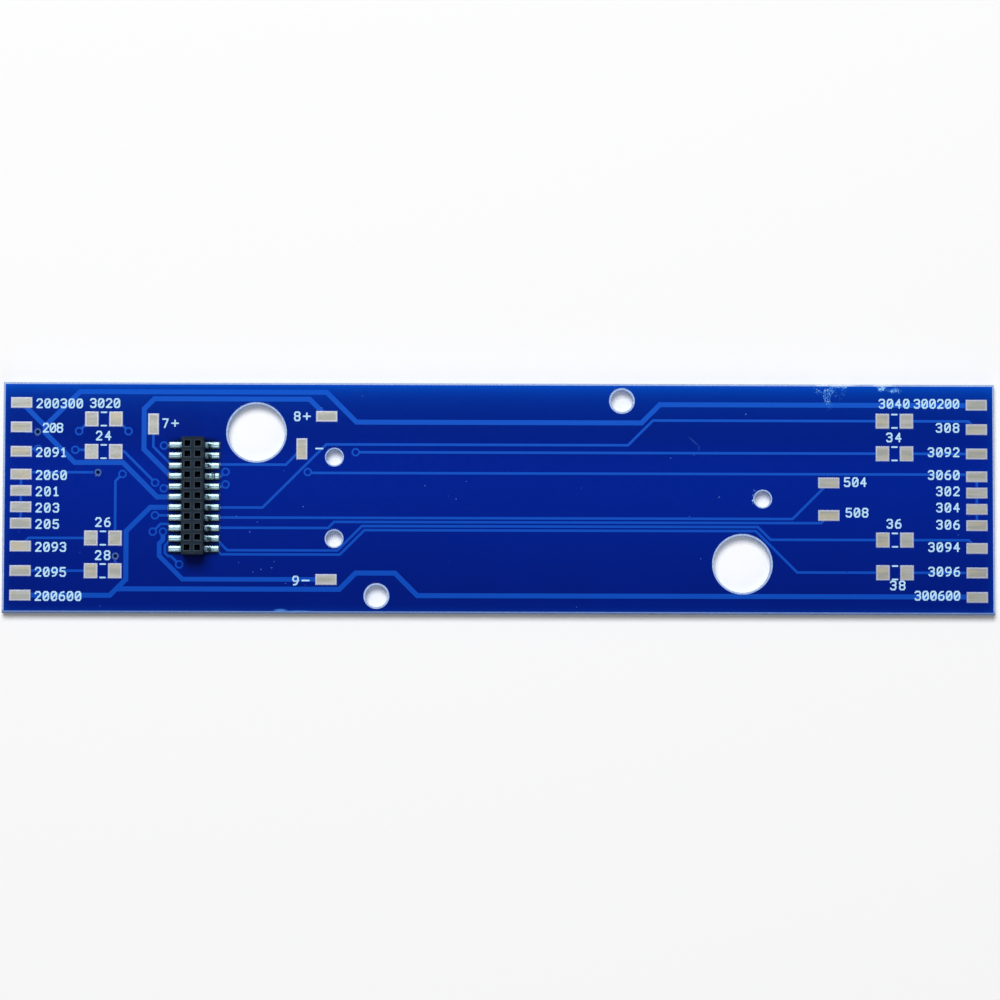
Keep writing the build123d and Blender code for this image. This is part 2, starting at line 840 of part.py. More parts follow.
with BuildPart() as board_laminate:
    with BuildSketch(Plane.XY.offset(laminate_bottom)):
        Rectangle(board_length, board_width)
    extrude(amount=laminate_thickness)
    for face in (faces().sort_by(Axis.Z)[0], faces().sort_by(Axis.Z)[-1]):
        chamfer(face.edges(), length=score_run, length2=score_depth, reference=face)
    with BuildSketch(Plane.XY.offset(laminate_bottom)):
        for x, y, hole, _ in unplated_holes:
            with Locations((x, y)):
                Circle(hole / 2)
    extrude(amount=laminate_thickness, mode=Mode.SUBTRACT)
    with BuildSketch(at_level(laminate_bottom)):
        draw_polygons(every_via, via_drill, barrel_sides)
    extrude(amount=laminate_thickness, mode=Mode.SUBTRACT)
board_laminate.part.label = "board_laminate"
export_step(board_laminate.part, "parts/board_laminate.step")

# ---------------------------------------------------------------- copper, one node per net


def make_copper(name, net):
    with BuildPart() as copper:
        with BuildSketch(at_level(laminate_top)):
            draw_pads(net.pads)
            draw_top_copper(net)
        extrude(amount=copper_thickness)
        vias = net.vias + net.bare_vias
        if vias:
            with BuildSketch(at_level(laminate_bottom)):
                draw_links(net.links)
            extrude(amount=-copper_thickness)
            with BuildSketch(at_level(laminate_bottom)):
                draw_polygons(vias, via_drill, barrel_sides)
            extrude(amount=laminate_thickness)
        if net.bare_vias:
            with BuildSketch(at_level(copper_top)):
                draw_polygons(net.bare_vias, via_bore, barrel_sides)
            extrude(amount=-board_thickness, mode=Mode.SUBTRACT)
    copper.part.label = f"copper_{name}"
    export_step(copper.part, f"parts/copper_{name}.step")


for name, net in nets.items():
    make_copper(name, net)

# ---------------------------------------------------------------- solder mask

# Component side: a thin film that climbs over every track and all but the bare via rings
with BuildPart() as solder_mask_top:
    with BuildSketch(Plane.XY.offset(laminate_top)):
        Rectangle(board_length - 2 * mask_setback, board_width - 2 * mask_setback)
    extrude(amount=mask_thickness)
    with BuildSketch(at_level(laminate_top)):
        for net in nets.values():
            draw_top_copper(net, mask_flank)
    extrude(amount=layer_thickness)
    with BuildSketch(at_level(laminate_top)):
        for net in nets.values():
            draw_top_copper(net)
    extrude(amount=copper_thickness, mode=Mode.SUBTRACT)
    with BuildSketch(at_level(laminate_top)):
        draw_pads(every_pad, opening_margin)
        draw_polygons(every_bare_via, bare_ring_opening, ring_sides)
    extrude(amount=layer_thickness, mode=Mode.SUBTRACT)
    with BuildSketch(Plane.XY.offset(laminate_top)):
        for x, y, _, opening in unplated_holes:
            draw_polygons([(x, y)], opening, opening_sides)
    extrude(amount=layer_thickness, mode=Mode.SUBTRACT)
solder_mask_top.part.label = "solder_mask_top"
export_step(solder_mask_top.part, "parts/solder_mask_top.step")

# Underside: level, and closed over the vias
with BuildPart() as solder_mask_bottom:
    with BuildSketch():
        Rectangle(board_length - 2 * mask_setback, board_width - 2 * mask_setback)
    extrude(amount=layer_thickness)
    with BuildSketch():
        for x, y, _, opening in unplated_holes:
            draw_polygons([(x, y)], opening, opening_sides)
    extrude(amount=layer_thickness, mode=Mode.SUBTRACT)
    with BuildSketch(at_level(laminate_bottom)):
        for net in nets.values():
            draw_links(net.links)
    extrude(amount=-copper_thickness, mode=Mode.SUBTRACT)
solder_mask_bottom.part.label = "solder_mask_bottom"
export_step(solder_mask_bottom.part, "parts/solder_mask_bottom.step")

# ---------------------------------------------------------------- print

with BuildPart() as printed_marks:
    with BuildSketch(at_level(mask_field_top)):
        for x in resistor_x.values():
            for row in resistor_rows:
                with Locations((x, row - dash_offset), (x, row + dash_offset)):
                    Rectangle(dash_length, dash_width)
    extrude(amount=print_thickness)
printed_marks.part.label = "printed_marks"
export_step(printed_marks.part, "parts/printed_marks.step")

# ---------------------------------------------------------------- decoder socket

cavity_from_middle = pin_pitch / 2
strip_level = copper_top + tail_rise
strip_top = strip_level + strip_thickness / 2
socket_y = socket_row_offset
row_middles = [socket_y + pin_pitch * (row - (pin_rows - 1) / 2) for row in range(pin_rows)]
cavities = [
    (socket_x + side * cavity_from_middle, y) for side in (-1, 1) for y in row_middles
]

with BuildPart() as socket_housing:
    with BuildSketch(at_level(housing_bottom)):
        with Locations((socket_x, socket_y)):
            Rectangle(housing_width, housing_length)
    extrude(amount=housing_top - housing_bottom)
    # feet across both ends
    foot_depth = housing_end_wall - land_width / 2
    with BuildSketch(at_level(mask_field_top)):
        for end in (-1, 1):
            with Locations((socket_x, socket_y + end * (housing_length - foot_depth) / 2)):
                Rectangle(housing_width, foot_depth)
    extrude(amount=housing_standoff)
    # cavities, open right through, with a chamfered mouth
    with BuildSketch(at_level(housing_bottom)):
        with Locations(*cavities):
            Rectangle(cavity_size, cavity_size)
    extrude(amount=housing_top - housing_bottom, mode=Mode.SUBTRACT)
    mouths = faces().sort_by(Axis.Z)[-1].inner_wires()
    chamfer([edge for mouth in mouths for edge in mouth.edges()], length=lead_in)
    # notches that let the tails out and hold them
    with BuildSketch(at_level(housing_bottom)):
        with Locations(*[(socket_x, y) for y in row_middles]):
            Rectangle(housing_width, strip_width)
            Rectangle(pin_pitch - cavity_size, strip_width, mode=Mode.SUBTRACT)
    extrude(amount=strip_top - housing_bottom, mode=Mode.SUBTRACT)
socket_housing.part.label = "socket_housing"
export_step(socket_housing.part, "parts/socket_housing.step")


def make_contact(pin):
    """A stamped strip: two bowed tines in the cavity and a tail that is bent to the land."""
    knee = housing_width / 2 + tail_knee
    toe = land_span / 2 - (land_length - tail_foot_length) / 4
    foot_level = copper_top + strip_thickness / 2
    plane = Plane(
        origin=(socket_x, artwork_shift + pin_row_y(pin), 0),
        x_dir=(pin_side(pin), 0, 0),
        z_dir=(0, -pin_side(pin), 0),
    )
    with BuildPart() as contact:
        with BuildSketch(plane):
            with BuildLine():
                Polyline(
                    (cavity_from_middle - (tine_gap + strip_thickness) / 2, strip_level),
                    (knee, strip_level),
                    (toe - tail_foot_length, foot_level),
                    (toe, foot_level),
                )
            trace(line_width=strip_thickness)
            for side in (-1, 1):
                root = cavity_from_middle + side * tine_gap / 2
                with BuildLine():
                    Polyline(
                        (root, strip_level),
                        (root - side * tine_pinch, strip_level + tine_height),
                    )
                trace(line_width=strip_thickness)
        extrude(amount=strip_width / 2, both=True)
    return contact.part


contacts = [make_contact(pin) for pin in pins]
for pin, contact in zip(pins, contacts):
    contact.label = f"contact_{pin:02d}"
    export_step(contact, f"parts/contact_{pin:02d}.step")

solder_inner = housing_width / 2 + solder_clearance
solder_outer = land_span / 2 - solder_clearance
solder_length = solder_outer - solder_inner
solder_width = land_width - 2 * solder_clearance
solder_centres = [
    (socket_x + pin_side(pin) * (solder_inner + solder_outer) / 2, pin_row_y(pin)) for pin in pins
]

with BuildPart() as solder_joints:
    with Locations(at_level(copper_top + solder_height / 2)):
        with Locations(*solder_centres):
            Wedge(
                solder_length,
                solder_height,
                solder_width,
                solder_slope,
                solder_slope,
                solder_length - solder_slope,
                solder_width - solder_slope,
                rotation=(90, 0, 0),
            )
    add(contacts, mode=Mode.SUBTRACT)
solder_joints.part.label = "solder_joints"
export_step(solder_joints.part, "parts/solder_joints.step")
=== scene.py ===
# Looks of a model locomotive's main circuit board: a long blue board with a 22-way plug-in
# decoder socket near one end and tinned wire pads at both.
from math import cos, exp, pi, radians, sin

import bmesh
import bpy
from mathutils import Matrix, Vector
from mathutils.geometry import intersect_point_line


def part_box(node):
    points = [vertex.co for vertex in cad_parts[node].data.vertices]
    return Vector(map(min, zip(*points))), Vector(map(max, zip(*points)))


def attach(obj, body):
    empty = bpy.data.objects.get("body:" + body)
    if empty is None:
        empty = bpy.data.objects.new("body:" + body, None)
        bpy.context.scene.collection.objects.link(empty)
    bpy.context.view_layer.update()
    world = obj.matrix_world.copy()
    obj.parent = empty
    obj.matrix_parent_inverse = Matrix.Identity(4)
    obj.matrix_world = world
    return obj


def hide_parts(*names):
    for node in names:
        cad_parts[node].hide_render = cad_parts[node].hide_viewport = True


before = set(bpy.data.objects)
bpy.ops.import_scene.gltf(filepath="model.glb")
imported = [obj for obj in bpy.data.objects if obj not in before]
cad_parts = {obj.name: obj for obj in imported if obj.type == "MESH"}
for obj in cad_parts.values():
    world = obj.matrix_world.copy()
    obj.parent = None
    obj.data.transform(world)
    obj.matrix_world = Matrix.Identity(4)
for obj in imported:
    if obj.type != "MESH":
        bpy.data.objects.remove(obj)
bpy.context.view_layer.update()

# ---------------------------------------------------------------- camera
# A copy-stand camera looks almost straight down at the board from 49 cm, through a long lens
# that keeps the edges parallel. It leans back by less than four degrees.
mm = 0.001
camera_place = (-4.85 * mm, -32.06 * mm, 490.0 * mm)
camera_lean = (3.7295, -0.5856, 0.117)  # degrees about X, Y and Z
copy_stand_lens = bpy.data.cameras.new("copy_stand_camera")
copy_stand_lens.lens = 144
copy_stand_lens.sensor_width = 36
copy_stand_camera = bpy.data.objects.new("copy_stand_camera", copy_stand_lens)
copy_stand_camera.location = camera_place
copy_stand_camera.rotation_euler = [radians(lean) for lean in camera_lean]
bpy.context.scene.collection.objects.link(copy_stand_camera)
bpy.context.scene.camera = copy_stand_camera
bpy.context.scene.view_settings.view_transform = "Standard"

# ---------------------------------------------------------------- table and studio light
# A plain white table top, lit by one soft window-like lamp beyond the board's +Y edge and a
# wide weak one from the near side. The room round them is a dim even grey.
table_width = 2.4
table_white = (0.93, 0.93, 0.935, 1)
table_glow = 0.07  # lifts the white, for the camera and for what metal and glass reflect
window_watts = 13.0
near_side_watts = 2.3
room_strength = 0.13


def make_piece(name, mesh_maker, smooth=False):
    """Makes one object, at the origin, from what mesh_maker does to an empty bmesh."""
    mesh = bpy.data.meshes.new(name)
    shape = bmesh.new()
    mesh_maker(shape)
    shape.to_mesh(mesh)
    shape.free()
    for polygon in mesh.polygons:
        polygon.use_smooth = smooth
    made = bpy.data.objects.new(name, mesh)
    bpy.context.scene.collection.objects.link(made)
    return made


def table_top(shape):
    bmesh.ops.create_grid(shape, x_segments=1, y_segments=1, size=table_width / 2)


class Nodes:
    """Adds nodes to one tree, each joined to whatever feeds it."""

    def node(self, kind, inputs=None, **settings):
        made = self.tree.nodes.new("ShaderNode" + kind)
        for key, value in settings.items():
            setattr(made, key, value)
        for key, value in (inputs or {}).items():
            if isinstance(value, bpy.types.NodeSocket):
                self.tree.links.new(value, made.inputs[key])
            else:
                made.inputs[key].default_value = value
        return made

    def noise(self, scale, detail=2.0, roughness=0.5, vector=None):
        return self.node(
            "TexNoise",
            {
                "Vector": vector or self.place,
                "Scale": scale,
                "Detail": detail,
                "Roughness": roughness,
            },
        ).outputs["Fac"]

    def band(self, value, low, high, to_low=0.0, to_high=1.0):
        """Eases from to_low, where the value is low, to to_high, where it is high."""
        return self.node(
            "MapRange",
            {
                "Value": value,
                "From Min": low,
                "From Max": high,
                "To Min": to_low,
                "To Max": to_high,
            },
            interpolation_type="SMOOTHSTEP",
        ).outputs["Result"]

    def math(self, operation, *values):
        return self.node("Math", dict(enumerate(values)), operation=operation).outputs[0]

    def mix(self, factor, first, second):
        """Mixes two colours, on the Mix node's colour sockets."""
        made = self.node("Mix", data_type="RGBA")
        for index, value in ((0, factor), (6, first), (7, second)):
            if isinstance(value, bpy.types.NodeSocket):
                self.tree.links.new(value, made.inputs[index])
            else:
                made.inputs[index].default_value = value
        return made.outputs[2]

    def bump(self, height, distance, strength):
        return self.node(
            "Bump", {"Height": height, "Distance": distance, "Strength": strength}
        ).outputs["Normal"]

    def axis(self, name):
        return self.node("SeparateXYZ", {"Vector": self.place}).outputs[name]


class Finish(Nodes):
    """One material in the making: its nodes, its links and its Principled shader."""

    def __init__(self, name):
        self.material = bpy.data.materials.new(name)
        self.material.use_nodes = True
        self.tree = self.material.node_tree
        self.shader = self.tree.nodes["Principled BSDF"]
        self.place = self.tree.nodes.new("ShaderNodeTexCoord").outputs["Object"]

    def set(self, **values):
        for key, value in values.items():
            socket = self.shader.inputs[key.replace("_", " ")]
            if isinstance(value, bpy.types.NodeSocket):
                self.tree.links.new(value, socket)
            else:
                socket.default_value = value

    def placed(self, effect, **values):
        """Places a shared effect in this finish with the finish's own values."""
        inputs = {label.replace("_", " "): value for label, value in values.items()}
        inputs["Vector"] = self.place
        return self.node("Group", inputs, node_tree=effect.tree).outputs


table_paint = Finish("table_paint")
rays = table_paint.node("LightPath").outputs
table_seen = table_paint.math("MAXIMUM", rays["Is Camera Ray"], rays["Is Glossy Ray"])
table_seen = table_paint.math("MAXIMUM", table_seen, rays["Is Transmission Ray"])
table_paint.set(
    Base_Color=table_white,
    Roughness=0.75,
    Specular_IOR_Level=0.2,
    Emission_Color=(1, 1, 1, 1),
    Emission_Strength=table_paint.math("MULTIPLY", table_seen, table_glow),
)
table = make_piece("table_top", table_top)
table.data.materials.append(table_paint.material)


def soft_lamp(name, place, size, watts):
    """A rectangular lamp that faces the board."""
    panel = bpy.data.lights.new(name, "AREA")
    panel.shape = "RECTANGLE"
    panel.size, panel.size_y = size
    panel.energy = watts
    lamp = bpy.data.objects.new(name, panel)
    lamp.location = place
    lamp.rotation_euler = (-Vector(place)).to_track_quat("-Z", "Y").to_euler()
    bpy.context.scene.collection.objects.link(lamp)


soft_lamp("window_lamp", place=(-0.12, 0.5, 1.12), size=(0.6, 0.5), watts=window_watts)
soft_lamp("near_side_lamp", place=(0.35, -0.9, 0.75), size=(1.1, 0.6), watts=near_side_watts)

room = bpy.data.worlds.new("room")
room.use_nodes = True
room_light = room.node_tree.nodes["Background"].inputs
room_light["Color"].default_value = (0.98, 0.99, 1.0, 1)
room_light["Strength"].default_value = room_strength
bpy.context.scene.world = room

# ---------------------------------------------------------------- laminate
# The blank is woven glass cloth in epoxy, 1.5 mm thick without its copper. It was snapped out
# of a panel along V-grooves, so its edges slant and are frayed with pale glass fibres. Its near
# side is painted darker, deepest low down, as painted shade. Where it shows beside the socket's
# lands it is painted near-black.
laminate_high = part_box("board_laminate")[1]
board_end = laminate_high.x
board_side = laminate_high.y
fray = 0.25 * mm  # how far the broken fibres wander up and down
fresh_depth = 0.45 * mm  # how far below the upper face a fresh break reaches
groove_depth = 0.525 * mm  # the near side lies in shade from here down
# Fresh breaks of the +Y edge: the middle and half the length, in mm
fresh_breaks = [(47.0, 1.5), (42.0, 2.0), (39.6, 1.0)]


class Effect(Nodes):
    """A node group that several finishes share, with named sockets."""

    def __init__(self, name, inputs, outputs):
        self.tree = bpy.data.node_groups.new(name, "ShaderNodeTree")
        for direction, sockets in (("INPUT", inputs), ("OUTPUT", outputs)):
            for label, kind in sockets.items():
                self.tree.interface.new_socket(
                    name=label, in_out=direction, socket_type="NodeSocket" + kind
                )
        self.inputs = self.tree.nodes.new("NodeGroupInput").outputs
        self.place = self.inputs["Vector"]
        self.ends = self.tree.nodes.new("NodeGroupOutput").inputs

    def put_out(self, **values):
        for label, value in values.items():
            self.tree.links.new(value, self.ends[label])


fine_grain = Effect(
    "fine_grain",
    {
        "Vector": "Vector",
        "Scale": "Float",
        "Detail": "Float",
        "Smooth": "Float",
        "Rough": "Float",
        "Depth": "Float",
        "Strength": "Float",
    },
    {"Grain": "Float", "Roughness": "Float", "Normal": "Vector"},
)
grains = fine_grain.noise(fine_grain.inputs["Scale"], fine_grain.inputs["Detail"], 0.6)
fine_grain.put_out(
    Grain=grains,
    Roughness=fine_grain.band(
        grains, 0.3, 0.7, fine_grain.inputs["Smooth"], fine_grain.inputs["Rough"]
    ),
    Normal=fine_grain.bump(grains, fine_grain.inputs["Depth"], fine_grain.inputs["Strength"]),
)

# A share that is 1 beside the socket and fades out between two distances from its middle, along
# the board and across it
socket_low, socket_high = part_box("socket_housing")
socket_middle = (socket_low.x + socket_high.x) / 2
socket_centre = (socket_low.y + socket_high.y) / 2
socket_half_width = (socket_high.x - socket_low.x) / 2
anywhere = (2.0, 1.0)  # in metres, both further off than the board reaches
beside_socket = Effect(
    "beside_socket",
    {
        "Vector": "Vector",
        "Along Far": "Float",
        "Along Near": "Float",
        "Across Far": "Float",
        "Across Near": "Float",
    },
    {"Share": "Float"},
)
fades = []
for name, middle, way in (("X", socket_middle, "Along"), ("Y", socket_centre, "Across")):
    off = beside_socket.math("SUBTRACT", beside_socket.axis(name), middle)
    fades.append(
        beside_socket.band(
            beside_socket.math("ABSOLUTE", off),
            beside_socket.inputs[way + " Far"],
            beside_socket.inputs[way + " Near"],
        )
    )
beside_socket.put_out(Share=beside_socket.math("MULTIPLY", *fades))


def grain(finish, scale, detail, smooth, rough, depth, strength):
    """Gives a finish its roughness and relief, and returns where the grains lie."""
    grains = finish.placed(
        fine_grain,
        Scale=scale,
        Detail=detail,
        Smooth=smooth,
        Rough=rough,
        Depth=depth,
        Strength=strength,
    )
    finish.set(Roughness=grains["Roughness"], Normal=grains["Normal"])
    return grains["Grain"]


def near_socket(finish, along, across=anywhere):
    """Places beside_socket: each pair holds the distances at which the share is 0 and 1."""
    return finish.placed(
        beside_socket,
        Along_Far=along[0],
        Along_Near=along[1],
        Across_Far=across[0],
        Across_Near=across[1],
    )["Share"]


def colour(red, green, blue):
    """A colour as it looks on a screen, 0 to 255, turned into the shader's linear values."""
    return tuple(
        c / 12.92 if c <= 0.04045 else ((c + 0.055) / 1.055) ** 2.4
        for c in (red / 255, green / 255, blue / 255)
    ) + (1,)


def wear(node_name, finish):
    """Puts a material on every slot of a CAD node."""
    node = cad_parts[node_name]
    if node.data.materials:
        for index in range(len(node.data.materials)):
            node.data.materials[index] = finish.material
    else:
        node.data.materials.append(finish.material)


glass_cloth = Finish("glass_cloth_laminate")
cloth = 1.0
for way, fineness in (("X", 560.0), ("Y", 470.0)):
    yarns = glass_cloth.node(
        "TexWave",
        {"Vector": glass_cloth.place, "Scale": fineness, "Distortion": 1.2, "Detail": 2.0},
        wave_type="BANDS",
        bands_direction=way,
    ).outputs["Fac"]
    cloth = glass_cloth.math("MULTIPLY", cloth, yarns)
fibre_ends = grain(
    glass_cloth, scale=9000.0, detail=4.0, smooth=0.55, rough=0.8, depth=0.04 * mm, strength=0.6
)
broken_edge = glass_cloth.mix(
    glass_cloth.band(fibre_ends, 0.38, 0.66),
    glass_cloth.mix(cloth, colour(130, 160, 214), colour(156, 188, 236)),
    colour(196, 216, 248),
)
wander = glass_cloth.band(glass_cloth.noise(1400.0, 3.0), 0.3, 0.7, -fray, fray)
below_top = glass_cloth.math("SUBTRACT", laminate_high.z, glass_cloth.axis("Z"))
below_top = glass_cloth.math("ADD", below_top, wander)
far_side = glass_cloth.band(glass_cloth.axis("Y"), board_side - 0.8 * mm, board_side - 0.5 * mm)
fresh = glass_cloth.band(below_top, fresh_depth + 0.1 * mm, fresh_depth - 0.1 * mm)
fresh = glass_cloth.math("MULTIPLY", far_side, fresh)
in_break = 0.0
for middle, reach in fresh_breaks:
    off = glass_cloth.math("SUBTRACT", glass_cloth.axis("X"), middle * mm)
    off = glass_cloth.math("DIVIDE", glass_cloth.math("ABSOLUTE", off), reach * mm)
    in_break = glass_cloth.math("MAXIMUM", in_break, glass_cloth.band(off, 1.0, 0.5))
broken_edge = glass_cloth.mix(
    glass_cloth.math("MULTIPLY", fresh, in_break), broken_edge, colour(214, 230, 250)
)
# Painted shade: the near side's slanted edge is painted darker, and near-black below groove_depth
near_side = glass_cloth.band(
    glass_cloth.axis("Y"), -board_side + 0.6 * mm, -board_side + 0.1 * mm
)
near_side_half_shade = glass_cloth.mix(
    glass_cloth.band(fibre_ends, 0.45, 0.65), colour(52, 100, 176), colour(96, 138, 200)
)
near_side_shade = glass_cloth.mix(
    glass_cloth.band(below_top, groove_depth - 0.075 * mm, groove_depth + 0.075 * mm),
    near_side_half_shade,
    colour(26, 34, 60),
)
broken_edge = glass_cloth.mix(
    glass_cloth.math("MULTIPLY", near_side, 0.85), broken_edge, near_side_shade
)
# Beside the socket's lands the laminate is painted near-black
dark_beside_socket = near_socket(glass_cloth, (3.7 * mm, 3.5 * mm), (7.4 * mm, 7.2 * mm))
glass_cloth.set(Base_Color=glass_cloth.mix(dark_beside_socket, broken_edge, colour(0, 10, 40)))
wear("board_laminate", glass_cloth)

# ---------------------------------------------------------------- copper
# Etched copper foil, one piece for each net, tinned wherever the lacquer leaves it open.
# Tin levelled with hot air dries as a low dull cushion with a bright rim.
streaks = Effect(
    "drawn_streaks",
    {"Vector": "Vector", "Scale": "Float", "Stretch": "Vector"},
    {"Streak": "Float"},
)
drawn_out = streaks.node("Mapping", {"Vector": streaks.place, "Scale": streaks.inputs["Stretch"]})
streaks.put_out(
    Streak=streaks.noise(streaks.inputs["Scale"], vector=drawn_out.outputs["Vector"])
)
dull_tin = Finish("dull_tin")
tin_grain = grain(
    dull_tin, scale=5200.0, detail=3.0, smooth=0.38, rough=0.55, depth=0.004 * mm, strength=0.5
)
tin_cloud = dull_tin.placed(streaks, Scale=900.0, Stretch=(0.25, 2.2, 1.0))["Streak"]
tin_warmth = dull_tin.band(dull_tin.noise(420.0, 1.0), 0.42, 0.62)
dull_tin.set(
    Base_Color=dull_tin.mix(
        dull_tin.band(tin_cloud, 0.35, 0.65),
        dull_tin.mix(tin_grain, colour(132, 134, 128), colour(152, 155, 150)),
        dull_tin.mix(tin_warmth, colour(158, 161, 158), colour(164, 158, 140)),
    ),
    Metallic=0.45,
)
for node_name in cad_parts:
    if node_name.startswith("copper_"):
        wear(node_name, dull_tin)

copper_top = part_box("copper_spare_lands")[1].z
artwork_shift = -0.2 * mm  # the etched pattern sits this far off the board's centre line
wire_pad = (2.54 * mm, 1.27 * mm)
upright_pad = (1.27 * mm, 2.54 * mm)
resistor_pad = (1.6 * mm, 1.8 * mm)
wire_column = 58.5 * mm
wire_rows = [11.8, 8.8, 5.8, 3.0, 1.0, -1.0, -3.0, -5.8, -8.8, -11.8]
resistor_column = 48.43 * mm
resistor_half_pitch = 1.475 * mm
resistor_rows = [9.8, 5.8, -4.8, -8.8]
capacitor_pads = [(-42.36, 9.2), (-24.19, 6.2)]
motor_pads = [(-21.17, 10.2), (-21.17, -9.8)]
speaker_pads = [(40.35, 2.2), (40.35, -1.8)]
pads = []
for end in (-1, 1):
    for row in wire_rows:
        pads.append((end * wire_column, row * mm, wire_pad))
    for row in resistor_rows:
        for side in (-1, 1):
            place = end * resistor_column + side * resistor_half_pitch
            pads.append((place, row * mm, resistor_pad))
for x, y in capacitor_pads:
    pads.append((x * mm, y * mm, upright_pad))
for x, y in motor_pads + speaker_pads:
    pads.append((x * mm, y * mm, wire_pad))
tin_thickness = 0.03 * mm
tin_edge = 0.9 * tin_thickness  # how far in the cushion's upper edge is rounded
tin_round = 0.09 * mm
rim_width = 0.15 * mm
middle_rise = 0.004 * mm  # the dull middle sets last, a hair above its rim


def rounded_plate(shape, x, y, low, size, corner, edge, finish):
    """A flat plate with round corners and a soft upper edge, standing on the height low."""

    def soften(edges, offset):
        bmesh.ops.bevel(
            shape, geom=edges, offset=offset, affect="EDGES", segments=3, profile=0.5, material=-1
        )
        shape.normal_update()

    others = set(shape.faces)
    block = bmesh.ops.create_cube(
        shape,
        size=1,
        matrix=Matrix.Translation((x, y + artwork_shift, low + size[2] / 2))
        @ Matrix.Diagonal((*size, 1)),
    )["verts"]
    lines = {line for vert in block for line in vert.link_edges}
    upright = [e for e in lines if abs(e.verts[0].co.z - e.verts[1].co.z) > size[2] / 2]
    soften(upright, corner)
    top = [f for f in shape.faces if f not in others and f.normal.z > 0.99]
    soften(list(top[0].edges), edge)
    for face in shape.faces:
        if face not in others:
            face.material_index = finish


def tin_coats(shape):
    for x, y, (length, width) in pads:
        size = (length, width, tin_thickness)
        rounded_plate(shape, x, y, copper_top, size, tin_round, tin_edge, 1)
        low = copper_top + tin_thickness
        size = (length - 2 * rim_width, width - 2 * rim_width, middle_rise)
        rounded_plate(shape, x, y, low, size, tin_round, middle_rise / 2, 0)


tin_rim = Finish("bright_tin_rim")
rim_grain = grain(
    tin_rim, scale=5200.0, detail=3.0, smooth=0.34, rough=0.5, depth=0.003 * mm, strength=0.4
)
tin_rim.set(
    Base_Color=tin_rim.mix(rim_grain, colour(158, 160, 176), colour(182, 184, 202)),
    Metallic=0.45,
)
tin_coat = make_piece("tin_coat", tin_coats)
tin_coat.data.materials.append(dull_tin.material)
tin_coat.data.materials.append(tin_rim.material)
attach(tin_coat, "root")

# ---------------------------------------------------------------- lacquer, component side
# Blue epoxy lacquer, screened on wet. It is dark where it lies on the laminate, and lighter
# where it climbs over bright copper. A painted sheen lightens it across the board, and painted
# light glows along the board's edges. Beside the socket, between the joints and by the housing,
# it is painted darker: painted shade, with some flux residue.
lacquer_thickness = 0.025 * mm
mask_field_top = laminate_high.z + lacquer_thickness
mask_ridge_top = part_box("solder_mask_top")[1].z
over_copper_near = colour(14, 76, 189)
over_copper_far = colour(24, 88, 204)
edge_light_colour = colour(0, 86, 214)
chipped = colour(168, 218, 255)
bruised = colour(70, 138, 226)
shade_and_flux_colour = colour(0, 12, 36)
lacquer_dust = colour(20, 52, 160)
# Rubbed patches: the middle, how far each reaches both ways, in mm, and how much is bare
scuffs = [
    (40.4, 13.05, 1.8, 1.0, 0.8), (40.2, 12.0, 0.6, 1.0, 0.62), (47.1, 13.75, 1.5, 0.35, 1.7),
    (47.7, 13.4, 1.4, 0.45, 1.1), (42.2, 13.85, 1.6, 0.25, 1.5), (31.1, 0.35, 0.35, 0.9, 0.9),
]
# Lines and dents that bruised the lacquer without breaking it: the middle, half the length
# and half the width in mm, the slant in degrees and how deep
bruises = [
    (23.8, 7.05, 1.1, 0.13, -42, 0.2), (24.45, 6.2, 0.5, 0.13, 88, 0.13),
    (-26.7, -13.85, 1.1, 0.32, 0, 0.9), (-24.4, -13.95, 2.2, 0.22, 0, 0.8),
]

# Dust settles as specks of uneven size, and keeps off most of the places it could lie in
settled_dust = Effect(
    "settled_dust",
    {"Vector": "Vector", "Colour": "Color", "Dust": "Color", "Scale": "Float", "Share": "Float"},
    {"Colour": "Color"},
)
grit = settled_dust.node(
    "TexVoronoi", {"Vector": settled_dust.place, "Scale": settled_dust.inputs["Scale"]}
)
lot = settled_dust.node("SeparateColor", {"Color": grit.outputs["Color"]}).outputs["Red"]
lies = settled_dust.math("LESS_THAN", lot, settled_dust.inputs["Share"])
speck = settled_dust.band(grit.outputs["Distance"], 0.16, 0.05)
settled_dust.put_out(
    Colour=settled_dust.mix(
        settled_dust.math("MULTIPLY", speck, lies),
        settled_dust.inputs["Colour"],
        settled_dust.inputs["Dust"],
    )
)


def dusted(finish, clean, dust, scale, share):
    return finish.placed(settled_dust, Colour=clean, Dust=dust, Scale=scale, Share=share)["Colour"]


# The lacquer's colour, on the laminate or over the tracks, with painted sheen and painted edge
# light
lacquer_tone_and_sheen = Effect(
    "lacquer_tone_and_sheen", {"Vector": "Vector", "Tracks": "Float"}, {"Colour": "Color"}
)
across_board = lacquer_tone_and_sheen.axis("Y")
# Painted sheen: darkest at the near side and lightest just past the middle
dim_lacquer = lacquer_tone_and_sheen.mix(lacquer_tone_and_sheen.noise(90.0), colour(0, 25, 118), colour(0, 28, 131))
sheened_lacquer = lacquer_tone_and_sheen.mix(lacquer_tone_and_sheen.noise(60.0), colour(0, 32, 142), colour(0, 36, 152))
sheen_to_middle = lacquer_tone_and_sheen.band(across_board, -board_side, 0.25 * board_side)
sheen_past_middle = lacquer_tone_and_sheen.band(across_board, 0.25 * board_side, 0.6 * board_side, 0.0, 0.65)
on_laminate = lacquer_tone_and_sheen.mix(
    lacquer_tone_and_sheen.math("SUBTRACT", sheen_to_middle, sheen_past_middle), dim_lacquer, sheened_lacquer
)
# Over the tracks, too, the far side is painted lighter, as painted sheen
over_copper = lacquer_tone_and_sheen.mix(
    lacquer_tone_and_sheen.band(across_board, -board_side, board_side), over_copper_near, over_copper_far
)
clear_of_edges = lacquer_tone_and_sheen.mix(lacquer_tone_and_sheen.inputs["Tracks"], on_laminate, over_copper)
